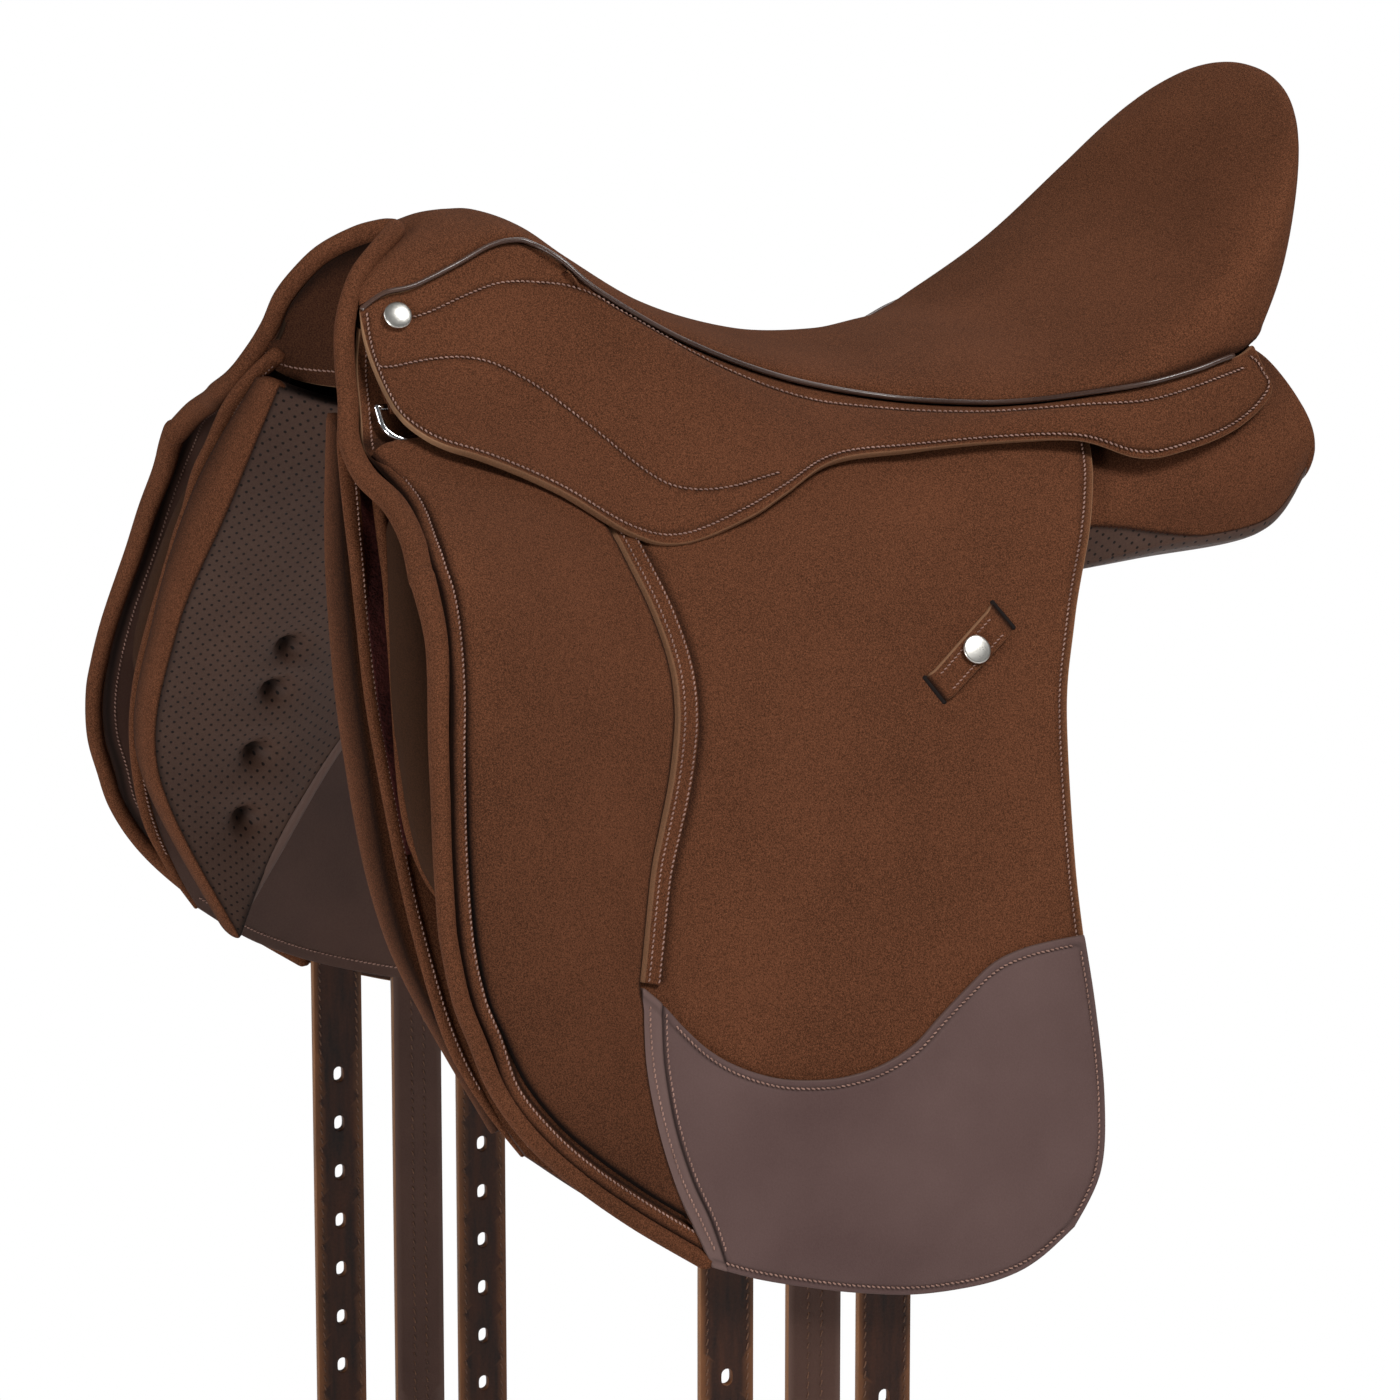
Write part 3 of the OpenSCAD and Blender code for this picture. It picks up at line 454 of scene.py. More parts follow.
# plain stuff: moulded plastic, foam, webbing and pile, told apart by their grain
def stuffFinish(name, look):
    f = Finish(name)
    grain, cloud = f.noise(f.spot(), look["grain"], 4), f.noise(f.spot(), 30, 3)
    height = grain
    if look.get("weave"):
        a = f.node("ShaderNodeSeparateXYZ", {}, {0: f.spot()}, out=1)
        b = f.node("ShaderNodeSeparateXYZ", {}, {0: f.spot()}, out=2)
        height = (a * look["weave"]).wave() * (b * look["weave"]).wave() + grain * 0.4
    colour = f.mixed((0.5 + (grain - 0.5) * 1.8 + (cloud - 0.5)).held(), look["deep"], look["light"])
    colour = f.mixed((f.mark("shade") * 0.9).held(), colour, look["deep"])
    return f.surface({
        "Base Color": colour, "Roughness": (look["rough"] + (grain - 0.5) * 0.3).held(),
        "Specular IOR Level": look.get("gloss", 0.4), "Normal": f.raised(height, look["raise"], 0.0008)})


suede = suedeFinish("brushedSuede", {
    "deep": tone(66, 38, 23), "light": tone(109, 66, 44), "pale": tone(158, 112, 80), "crease": tone(18, 10, 7),
    "cut": tone(160, 122, 92), "cloud": 15, "cloudy": 0.8, "nap": 1400, "napped": 4.0, "fleck": 3000, "flecked": 3.2,
    "flecks": 0.5, "raise": 0.4, "sheen": 0.02})
piping = leatherFinish("pipingLeather", {
    "deep": tone(52, 35, 28), "light": tone(84, 59, 48), "pale": tone(120, 88, 70), "crease": tone(18, 11, 9),
    "cut": tone(90, 62, 46), "pebble": 900, "mottle": 1.0, "rough": 0.3, "gloss": 0.6, "raise": 0.12})
grip = leatherFinish("gripLeather", {
    "deep": tone(83, 62, 59), "light": tone(102, 80, 76), "pale": tone(124, 100, 94), "crease": tone(30, 21, 19),
    "cut": tone(92, 72, 66), "pebble": 1300, "mottle": 0.7, "rough": 0.6, "gloss": 0.2, "raise": 0.16})
lining = leatherFinish("liningLeather", {
    "deep": tone(66, 45, 38), "light": tone(86, 62, 53), "pale": tone(106, 84, 76), "crease": tone(20, 14, 12),
    "cut": tone(70, 52, 46), "pebble": 1100, "mottle": 0.8, "rough": 0.52, "gloss": 0.16, "raise": 0.22})
punched = leatherFinish("punchedLeather", {
    "deep": tone(66, 46, 38), "light": tone(88, 65, 54), "pale": tone(108, 88, 80), "crease": tone(12, 8, 7),
    "cut": tone(70, 52, 46), "pebble": 1000, "mottle": 0.9, "rough": 0.5, "gloss": 0.14, "raise": 0.25,
    "holes": 6.3, "holeSize": 0.2})
strapLeather = strapFinish("strapLeather", {
    "deep": tone(26, 14, 10), "light": tone(64, 37, 25), "pale": tone(136, 88, 54), "crease": tone(14, 8, 6),
    "cut": tone(150, 104, 70)})
strapEdge = strapFinish("strapEdge", {
    "deep": tone(62, 36, 22), "light": tone(116, 74, 46), "pale": tone(150, 106, 72), "crease": tone(30, 18, 12),
    "cut": tone(150, 104, 70)})
thread = stuffFinish("sewingThread", {
    "deep": tone(96, 68, 58), "light": tone(186, 146, 130), "grain": 1200, "rough": 0.7, "raise": 0.4})
darkThread = stuffFinish("waxedThread", {
    "deep": tone(46, 28, 20), "light": tone(118, 80, 56), "grain": 1200, "rough": 0.6, "raise": 0.4})
pile = stuffFinish("loopPile", {
    "deep": tone(28, 11, 11), "light": tone(82, 40, 36), "grain": 900, "rough": 0.95, "raise": 1.0, "gloss": 0.1})
plastic = stuffFinish("treePlastic", {
    "deep": tone(34, 34, 36), "light": tone(46, 46, 48), "grain": 500, "rough": 0.5, "raise": 0.15})
webbing = stuffFinish("girthWebbing", {
    "deep": tone(150, 140, 118), "light": tone(188, 178, 152), "grain": 900, "rough": 0.85, "raise": 0.6,
    "weave": 3600})
chrome = metalFinish("chromedSteel", {
    "deep": tone(196, 198, 202), "light": tone(226, 228, 232), "rough": 0.12, "raise": 0.03})
satin = metalFinish("satinButton", {
    "deep": tone(206, 203, 196), "light": tone(232, 229, 222), "rough": 0.32, "raise": 0.05})
steel = metalFinish("plainSteel", {
    "deep": tone(136, 138, 142), "light": tone(170, 172, 176), "rough": 0.4, "raise": 0.12})

# sewing: one stitch each pitch, how much of it the thread covers, and how far the thread lies over the leather
seam = {"pitch": 2.4, "radius": 0.42, "cover": 0.72, "slant": 0.22, "over": 0.05}
print("finishes made")


# seat: an oval cross section between the middle line and the piping, station by station from pommel to cantle
seatLook = {
    "piping": [(36, -212, 131.5), (38, -208, 134), (39, -196, 136), (37, -176, 143), (31, -157, 149), (28, -144, 150),
               (29, -136, 148), (37, -125, 141), (45, -110, 127), (53, -72, 103), (56, -26, 83), (62, 21, 71),
               (78, 58, 68), (89, 82, 69), (102, 105, 73), (111, 130, 77), (112, 153, 81), (111, 166, 84),
               (108, 181, 87), (104, 191, 91)],
    "middle": [(-181.8, 152.5), (-179, 154), (-174, 156), (-167, 158), (-156, 158), (-146, 157), (-130, 150.5),
               (-112, 137), (-75, 113), (-32, 94), (10, 83.5), (46, 83), (76, 84), (108, 88), (146, 107), (186, 136),
               (222, 178), (243, 195), (234, 152), (207, 108)],
    "full": 2.2, "cover": 2.6, "foam": 8.6, "tuckAhead": 7, "tuckDown": 3, "rows": 200, "cols": 150,
    "pipe": 1.2, "pipeStart": [(37.8, -219.5, 127), (39.2, -213, 131.8)], "pipeOff": [2.6, 0, 0.2],
}


def seatPoint(u, v, drop):
    edge, mid = spline(seatLook["piping"], u), spline(seatLook["middle"], u)
    angle = np.pi / 2 * abs(v)
    h = np.sin(angle) ** (2 / seatLook["full"])
    w = 1 - np.maximum(np.cos(angle), 0) ** (2 / seatLook["full"])
    front = np.clip(5 * u, 0, 1)
    wy, wz = mix(ease(h), w, front), mix(h ** 2.2, w, front)
    back, side = ease((u - 0.8) / 0.16), ease((abs(v) - 0.55) / 0.45)
    tuck = ease((0.05 - u) / 0.05)
    x = np.sign(v) * (edge[..., 0] * h - 0.7 * drop * side)
    y = mix(mid[..., 0], edge[..., 1], wy) - drop * back * (1 - 0.3 * side)
    z = mix(mid[..., 1], edge[..., 2], wz) - drop * (1 - 0.55 * side) * (1 - 0.8 * back)
    return np.stack([x, y - seatLook["tuckAhead"] * tuck, z - seatLook["tuckDown"] * tuck], -1)


u, v = lattice(seatLook["rows"], seatLook["cols"], 0, 1, 1, -1)
foamed = ease((u - 0.1) / 0.05) * ease((0.79 - u) / 0.05) * ease((0.72 - abs(v)) / 0.1)
under = seatPoint(u, v, seatLook["cover"] + seatLook["foam"] * foamed)
form = shell(seatPoint(u, v, 0 * u)[::-1], under[::-1], 0.6, 0.7, 3)
marks = {"shade": onShell(form, 0.8 * ease((abs(v) - 0.965) / 0.035)[::-1])}
makePiece("seat", form, suede, "suede", ["seat_cover", "seat_foam"], marks=marks, fill=0.9)

pipeLine = np.concatenate([seatLook["pipeStart"], np.array(seatLook["piping"][1:]) + seatLook["pipeOff"]])
form = tube(evenly(pipeLine, 300)[:288], seatLook["pipe"], seatLook["pipe"], (0, 0, 1), 12)
for side, way in sides.items():
    makePiece(f"piping_{side}_cord", form, piping, "piping", [f"piping_{side}"], way)
print("seat and piping made")


# pommel: a padded roll round the arch, and a facing that hangs behind it
pommelLook = {
    "line": [(154, -238.8, 32.5), (136, -235.8, 45.8), (113.5, -235.3, 56.4), (91, -240, 65.2), (71, -239, 76),
             (57, -234, 91), (46, -231, 104), (38, -228, 118), (30, -222, 130), (23, -214, 140), (15, -202, 148),
             (7, -193, 152), (0, -189, 153)],
    "arch": [(54, -233, 92), (51, -230, 85), (46, -224, 80.5), (40, -218, 78.5), (30, -211, 78), (16, -204, 79),
             (0, -199, 81)],
    "radius": [(30, 5.8), (58, 5.4), (80, 4.7), (140, 4.5), (160, 4.8)], "thick": 2.0, "lining": 1.5,
    "facingSpan": (0.755, 0.245), "facingNarrow": [0.88, 1, 1], "facingOff": [0, 1, -4.0], "hemRow": 26,
    "liningLong": (-178, -220), "liningWide": (44.5, 57), "liningHigh": (107, 61),
}


def bothSides(line):
    line = np.asarray(line, float)
    return np.concatenate([line, line[-2::-1] * [-1, 1, 1]])


pommelPath = bothSides(pommelLook["line"])
line = evenLine(spline(pommelPath, np.linspace(0, 1, 400)), 260)
thick = np.interp(line[:, 2], *np.transpose(pommelLook["radius"]))
makePiece("pommelRoll", tube(line, thick, thick, (0, 1, 0), 20), suede, "suede", ["pommel_roll"])
s, t = lattice(120, 30)
rollEdge = spline(pommelPath, mix(*pommelLook["facingSpan"], s))
rollEdge = rollEdge * pommelLook["facingNarrow"] + pommelLook["facingOff"]
hang = mix(rollEdge, spline(bothSides(pommelLook["arch"]), 1 - s), t[..., None])
form = shell(hang, hang + [0, pommelLook["thick"], 0], 0.5, 0.6, 5)
marks = {"edge": rimMark(form), "shade": onShell(form, 0.62 + ease((0.25 - t) / 0.25) * 0.35)}
makePiece("pommelFacing", form, suede, "suede", ["pommel_facing"], marks=marks)
hem = hang[2:-2, pommelLook["hemRow"]]
makePiece("pommelFacing_sewing", stitches(hem, spread([0, -1, 0], len(hem)), seam), thread, "suede")
y, t = lattice(40, 30, *pommelLook["liningLong"])
wall = np.stack([mix(*pommelLook["liningWide"], t), y, mix(*pommelLook["liningHigh"], t)], -1)[::-1]
form = shell(wall, wall - [pommelLook["lining"], 0, 0], 0.4, 0.7, 3)
for side, way in sides.items():
    makePiece(f"gulletLining_{side}", form, lining, "lining", (), way, {"shade": onShell(form, 0.9 + 0 * t)})
print("pommel made")


# skirt: from the piping over the bend to the edge, one smooth curve for each station from front to rear
skirtLook = {
    "edge": [(90, -215, 79), (103.5, -189, 71.7), (112, -156.5, 55.7), (119.7, -124.6, 34.4), (121.5, -101.4, 28.5),
             (118, -69.2, 36), (112, -48, 44), (100, -18.5, 53.5), (101, 18, 55), (107, 59, 56), (118, 94, 55.5),
             (128, 120, 47), (129, 144, 49), (123, 171, 54.5), (113, 197, 66)],
    "bendFront": np.array([52.0, -222, 113]), "bendRear": np.array([97, -17, 54.5]),
    "bendWay": np.array([50.0, 4, -51]),
    "bendLong": 9, "thick": 3.5, "corner": 0.05, "cornerDeep": 0.24, "rows": 300, "cols": 64,
    "rowInside": 2.9, "rowTop": 10.5, "rowTopRear": 5.0, "rowTopDip": 8.5,
    "swing": [(0.006, 0.52), (0.043, 0.413), (0.084, 0.37), (0.12, 0.397), (0.157, 0.476), (0.197, 0.571),
              (0.231, 0.651), (0.261, 0.73), (0.291, 0.80), (0.314, 0.835), (0.351, 0.87), (0.388, 0.889),
              (0.428, 0.889)],
    "stations": (0.2, 10.3, 18.6), "topOff": [1.5, 0, -2.0], "noseOff": [-0.5, -8.5, -3.5],
    "bendSwell": [4.5, 0, 3.4], "rearSwell": [3.2, 0, 3.2],
}


def skirtPoint(q, t):
    start, fold, end = (k / (len(seatLook["piping"]) - 1) for k in skirtLook["stations"])
    u = np.where(q < 0.5, mix(start, fold, 2 * q), mix(fold, end, 2 * q - 1))
    nose = ease((0.05 - q) / 0.05)[..., None]
    top = spline(seatLook["piping"], u) + skirtLook["topOff"] + nose * skirtLook["noseOff"]
    edge = spline(skirtLook["edge"], q)
    s = np.clip(2 * q, 0, 1)[..., None]
    bend = mix(skirtLook["bendFront"], skirtLook["bendRear"], s) + np.sin(np.pi * s) * skirtLook["bendSwell"]
    late = np.clip(2 * q - 1, 0, 1)[..., None]
    swell = mix(top, edge, 0.5) + np.sin(np.pi * mix(0.2, 1, late)) * skirtLook["rearSwell"]
    middle = mix(bend, swell, ease((q - 0.40) / 0.16)[..., None])
    near = np.clip(np.minimum(q, 1 - q) / skirtLook["corner"], 0, 1)
    t = t * (1 - skirtLook["cornerDeep"] * (1 - np.sqrt(1 - (1 - near) ** 2)))
    a, b = t[..., None], 1 - t[..., None]
    above, below = np.linalg.norm(middle - top, axis=-1), np.linalg.norm(edge - middle, axis=-1)
    k = np.clip(above / (above + below), 0.2, 0.8)[..., None]
    control = (middle - top * (1 - k) ** 2 - edge * k * k) / (2 * k * (1 - k))
    return top * b * b + control * 2 * a * b + edge * a * a


q, t = lattice(300, 60)
skirtGrid = evenRows(evenColumns(skirtPoint(q, t), skirtLook["cols"]), skirtLook["rows"])
skirtOut = normalsOf(skirtGrid)
rowOfSkirt = np.arange(skirtLook["rows"]) / (skirtLook["rows"] - 1)


# a line on the skirt from pairs of share from front to rear and share from piping to edge
def onSkirt(pairs, count):
    pairs = evenLine(spline(pairs, np.linspace(0, 1, 8 * count)), count)
    last = np.array(skirtGrid.shape[:2]) - 1
    at = pairs * last
    i, j = np.minimum(at.astype(int), last - 1).T
    x, y = (at[:, 0] - i)[:, None], (at[:, 1] - j)[:, None]
    read = lambda g: mix(mix(g[i, j], g[i + 1, j], x), mix(g[i, j + 1], g[i + 1, j + 1], x), y)
    return read(skirtGrid), unit(read(skirtOut))


# a distance down the skirt as a share of its length from piping to edge
def skirtShare(distance, share):
    length = np.linalg.norm(np.diff(skirtGrid, axis=1), axis=-1).sum(1)
    return distance / np.interp(share, rowOfSkirt, length)


edgeShare, topShare = np.linspace(0.012, 0.988, 60), np.linspace(0.035, 0.975, 60)
rowTop = mix(skirtLook["rowTop"], skirtLook["rowTopRear"], ease((topShare - 0.74) / 0.24))
rowTop = rowTop + skirtLook["rowTopDip"] * bell(topShare - 0.225, 0.075)
skirtLines = [
    np.concatenate([[(0.006, 0.04), (0.0055, 0.3), (0.0055, 0.6), (0.0055, 0.85)],
                    np.stack([edgeShare, 1 - skirtShare(skirtLook["rowInside"], edgeShare)], -1)[:-1],
                    [(0.9945, 0.85), (0.9945, 0.6), (0.9945, 0.3), (0.99, 0.1)]]),
    np.stack([topShare, skirtShare(rowTop, topShare)], -1),
    skirtLook["swing"],
]
skirtRows = [onSkirt(pairs, 500) for pairs in skirtLines]
groove = np.minimum.reduce([lineDistance(skirtGrid, points[::6]) for points, _ in skirtRows])
skirtOuter = skirtGrid - skirtOut * (0.45 * bell(groove, 1.3))[..., None]
skirtForm = shell(skirtOuter, skirtGrid - skirtOut * skirtLook["thick"], 0.45, 0.6, 5)
skirtCut = (0.4 + 0.6 * ease((0.09 - rowOfSkirt) / 0.06))[:, None] + 0 * groove
skirtMarks = {"edge": rimMark(skirtForm) * onShell(skirtForm, skirtCut),
              "shade": onShell(skirtForm, 0.62 * bell(groove, 1.1))}
skirtSewing = together([stitches(points, out, seam) for points, out in skirtRows])
along = skirtLook["bendRear"] - skirtLook["bendFront"]
fall = unit(skirtLook["bendWay"] - along * (skirtLook["bendWay"] @ along) / (along @ along))
bendEnd = skirtLook["bendFront"] + skirtLook["bendLong"] * fall
for side, way in sides.items():
    bend = ("saddle", f"skirt_lift_{side}", metres(way, *skirtLook["bendFront"]), metres(way, *bendEnd))
    nodes = [f"skirt_{side}", f"skirt_lobe_{side}"]
    makePiece(f"skirt_{side}_leather", skirtForm, suede, "suede", nodes, way, skirtMarks, bend=bend)
    makePiece(f"skirt_{side}_sewing", skirtSewing, thread, "suede", (), way, bend=bend)
print("skirts made")


# outer faces of flap and sweat flap: half width at each height for front, middle and rear
faceLook = {
    "front": [(-300, 247), (-216, 246), (-162, 241), (-124, 233), (-91, 222), (-60, 209), (-33, 196), (-5, 184),
              (21, 168), (39, 151), (47, 136), (58, 112), (66, 91), (76, 73), (91, 58), (104, 47), (118, 40)],
    "middle": [(-300, 246), (-261, 244.5), (-216, 238), (-162, 224), (-91, 197.5), (-33, 167), (4, 141), (21, 126),
               (40, 107), (50, 95), (62, 78), (78, 64), (108, 48)],
    "rear": [(-300, 246), (-250, 239), (-148, 213), (-71, 190), (-33, 172), (4, 150), (21, 139), (40, 124), (49, 114),
             (56, 104), (62, 92)],
    "sweat": [(-300, 204), (-230, 203), (-187, 199), (-128, 186), (-91, 170), (-59, 151), (-28, 131), (4, 113),
              (35, 91), (62, 66)],
    "frontFrom": -125, "frontLong": 110, "rearFrom": 10, "rearLong": 95, "sweatFrom": -130, "sweatLong": 115,
    "room": 14, "roomAbove": 11, "roomRise": 70,
}


def flapX(y, z):
    middle = valueAt(faceLook["middle"], z)
    front, rear = valueAt(faceLook["front"], z) - middle, valueAt(faceLook["rear"], z) - middle
    ahead = ease((faceLook["frontFrom"] - y) / faceLook["frontLong"])
    behind = ease((y - faceLook["rearFrom"]) / faceLook["rearLong"])
    return middle + ahead * front + behind * rear


def sweatX(y, z):
    above = ease((z + faceLook["roomRise"]) / faceLook["roomRise"])
    middle = flapX(np.maximum(y, faceLook["frontFrom"]), z) - faceLook["room"] - faceLook["roomAbove"] * above
    ahead = ease((faceLook["sweatFrom"] - y) / faceLook["sweatLong"])
    return mix(middle, valueAt(faceLook["sweat"], z), ahead)


# line beside another, to its left as it runs, by a distance
def inset(line, distance):
    step = unit(np.gradient(line, axis=0))
    return line + distance * np.stack([-step[:, 1], step[:, 0]], -1)


# flap in side view, from its cut top edge at the front along the groove beside the front roll to the rear corner
flapLook = {
    "front": [(-221, 118), (-226, 101), (-230.5, 83), (-234, 73), (-232.5, 66), (-230, 61), (-229.3, 55), (-231.8, 47),
              (-233.6, 37.7), (-233.8, 23.4), (-239.1, -12.3), (-242.8, -32.4), (-249.6, -70.6), (-252.6, -106),
              (-250.3, -131), (-244.3, -150), (-237.5, -172.6), (-222, -194), (-203, -213), (-178, -233), (-146, -256)],
    "top": [(-221, 118), (-207, 98), (-192, 83), (-180, 74), (-166, 66), (-150, 61), (-134, 55), (-118, 50.5),
            (-106, 48.8), (-95, 50.5), (-80, 56), (-60, 60), (20, 60), (104.5, 56)],
    "bottom": [(-146, -256), (-139, -262), (-98, -276.5), (-49, -286.5), (-1, -284.5), (30, -267)],
    "rear": [(104.5, 56), (90, 22), (71, -16), (57, -55), (49.5, -116), (49.5, -175), (49.3, -214), (44.6, -245),
             (30, -267)],
    "seam": [(-138.5, 50), (-132.3, 33), (-129.4, 22), (-124.6, 0.8), (-123, -18.4), (-125.7, -36.4), (-131, -51.6),
             (-137, -65), (-145, -80), (-152, -93.5), (-158, -110), (-164, -129), (-168, -143), (-170, -157),
             (-170.3, -175), (-166.8, -200), (-160.8, -222.5), (-152.5, -242)],
    "fold": 72.0, "seamEnd": -139, "thick": 4.2, "welt": 2.1, "weltWide": 3.3, "weltAt": 3.2, "rows": 170, "cols": 200,
    "bendStart": (171, -240, 33), "bendEnd": (171, -240, 14),
    "rearRow": -3.2, "weltRow": 5.2, "cutRow": 3.4, "linedRow": 6.2,
}
flapEdges = {name: evenly(flapLook[name], 120) for name in ("front", "top", "bottom", "rear", "seam")}
grooveLine = flapEdges["front"][flapEdges["front"][:, 1] < flapLook["fold"]]
cutLine = flapEdges["front"][flapEdges["front"][:, 1] > flapLook["fold"] + 1]
seamLine, rearLine = flapEdges["seam"], flapEdges["rear"]
upperSeam = seamLine[seamLine[:, 1] > flapLook["seamEnd"]]


# height of the welt that runs beside the groove
def flapRelief(yz):
    gap = lineDistance(yz, grooveLine)
    bow = np.clip(1 - ((gap - flapLook["weltAt"]) / flapLook["weltWide"]) ** 2, 0, 1)
    return flapLook["welt"] * np.sqrt(bow) * ease((flapLook["fold"] - yz[..., 1]) / 6)


# plain flap, moved out sideways
def flatFlap(yz, lift):
    return np.stack([flapX(yz[..., 0], yz[..., 1]) + lift, yz[..., 0], yz[..., 1]], -1)


# outward direction of the plain flap: across the slopes of its half width
def flapNormal(yz):
    y, z = yz[..., 0], yz[..., 1]
    slopeY, slopeZ = flapX(y + 0.5, z) - flapX(y - 0.5, z), flapX(y, z + 0.5) - flapX(y, z - 0.5)
    return unit(np.stack([np.ones_like(y), -slopeY, -slopeZ], -1))


# plain flap, moved out along its outward direction
def overFlap(yz, lift):
    return flatFlap(yz, 0) + flapNormal(yz) * np.asarray(lift)[..., None]


def onSweat(yz, lift=0.0):
    y, z = yz[..., 0], yz[..., 1]
    return np.stack([sweatX(y, z) + lift, y, z], -1)


# stitches along a line on the flap, raised where it is
def flapRow(yz):
    yz = evenLine(yz, 400)
    return stitches(overFlap(yz, flapRelief(yz) + seam["over"]), flapNormal(yz), seam)


s, t = lattice(flapLook["rows"], flapLook["cols"])
s = s * (0.35 + 0.65 * s)
flapYz = patch(flapEdges["top"], flapEdges["bottom"], flapEdges["front"], flapEdges["rear"], s, t)
grooveGap = lineDistance(flapYz, grooveLine)
edgeGap = np.minimum(lineDistance(flapYz, rearLine[::3]), lineDistance(flapYz, flapEdges["bottom"][::3]))
besideSeam = lineDistance(flapYz, inset(upperSeam, 10.0)[::2])
flapOuter = overFlap(flapYz, flapRelief(flapYz) - 0.5 * bell(besideSeam, 3.0))
flapForm = shell(flapOuter, flatFlap(flapYz, -flapLook["thick"]), 0.35, 0.5, 5)
welted = flapYz[..., 1] < flapLook["fold"]
flapShade = np.maximum.reduce([
    0.97 * bell(grooveGap, 1.9) * welted, 0.9 * bell(grooveGap - 7.0, 1.3) * welted, 0.7 * bell(besideSeam, 2.4),
    0.85 * bell(flapYz[..., 1] - 74.5, 3.5) * (flapYz[..., 0] < -150),
    0.5 * bell(lineDistance(flapYz, inset(rearLine, flapLook["rearRow"])[::2]), 1.0)])
flapMarks = {
    "edge": rimMark(flapForm) * onShell(flapForm, 1.0 - (grooveGap < 6) * welted),
    "shade": onShell(flapForm, flapShade, 0.0), "wear": onShell(flapForm, 0.3 * bell(edgeGap, 1.2), 0.0),
}
flapMarks["shade"][flapForm["count"]:2 * flapForm["count"]] = 0.85 * bell(grooveGap - 2.5, 2.2).ravel()
flapGroup = np.where(flapForm["group"] == 1, 1, 0)

# padded front of the flap: a pillow of its own with a rounded fold at the top
padLook = {
    "front": [(-233, 70.5), (-228, 63), (-224, 57), (-224.5, 50), (-227.2, 38), (-227.8, 23.4), (-233, -12.3),
              (-236.4, -32.4), (-243, -70.6), (-246, -106), (-243.8, -131), (-237.6, -149), (-229, -169),
              (-214.5, -189), (-196.5, -206.5), (-174, -225), (-156, -238)],
    "top": [(-233, 70.5), (-225, 72.5), (-210, 73), (-200, 72.5), (-185, 68), (-168, 61), (-153, 55)],
    "bottom": [(-156, -238), (-154.2, -240), (-152.5, -242)],
    "foot": 0.5, "step": 2.4, "swell": 3.2, "fold": 1.2, "back": 3.1, "low": 0.2,
}
padRear = inset(seamLine, -padLook["back"] * ease((seamLine[:, 1] + 150) / 14)[:, None])
padFront, padBottom = evenly(padLook["front"], 120), evenly(padLook["bottom"], 120)
padTop = evenly(padLook["top"] + [tuple(padRear[0])], 120)
s, t = lattice(90, 200)
padYz = patch(padTop, padBottom, padFront, padRear, s, t)
padFrontGap, padRearGap, padTopGap = (lineDistance(padYz, line) for line in (padFront, padRear, padTop))
padSwell = (1 - np.exp(-padFrontGap / 11)) * (1 - np.exp(-padRearGap / 14))
padHigh = padLook["foot"] + padLook["step"] * (1 - np.exp(-padFrontGap / 3)) + padLook["swell"] * padSwell
padHigh = (padHigh + padLook["fold"] * bell(padTopGap, 7)) * (1 - 0.35 * np.exp(-padTopGap / 1.6))
padForm = shell(overFlap(padYz, padHigh), overFlap(padYz, padLook["low"]), 0.5, 0.8, 5)
padShade = 0.9 * bell(padFrontGap, 1.9) + 0.34 * np.exp(-padFrontGap / 38) * ease((40 - padYz[..., 1]) / 170)
padMarks = {"shade": onShell(padForm, np.maximum.reduce([
    padShade, 0.6 * (padRearGap < 1) * (padYz[..., 1] < flapLook["seamEnd"]), 0.85 * bell(padRearGap, 0.9)]))}

# sewn band behind the pad, with a slanted cut edge towards the pad
bandLook = {"near": -2.9, "far": 9.0, "bevel": 3.3, "round": 1.0, "lift": 0.2, "thick": 1.7, "rows": (2.5, 7.8)}
offsets = np.linspace(bandLook["near"], bandLook["far"], 24)
bandYz = np.stack([evenLine(inset(upperSeam, k), 150) for k in offsets])
bandRise = np.minimum(mix(0.15, 1, ease((offsets - bandLook["near"]) / bandLook["bevel"])),
                      np.sqrt(np.clip((bandLook["far"] + 0.15 - offsets) / bandLook["round"], 0, 1)))
bandHigh = bandLook["lift"] + bandLook["thick"] * bandRise[:, None] + 0 * bandYz[..., 0]
bandForm = shell(overFlap(bandYz, bandHigh), flatFlap(bandYz, 0.05), 0.5, 0.8, 3)
bandCut = 0.38 * ease((0.8 - offsets) / 0.6)[:, None] + 0 * bandHigh
bandMarks = {"shade": 0.6 * rimMark(bandForm), "edge": onShell(bandForm, bandCut, 0.0)}
bandLines = [evenLine(inset(upperSeam, k), 300) for k in bandLook["rows"]]
bandTop = bandLook["lift"] + bandLook["thick"] + seam["over"]
bandRows = [stitches(overFlap(line, bandTop), flapNormal(line), seam) for line in bandLines]

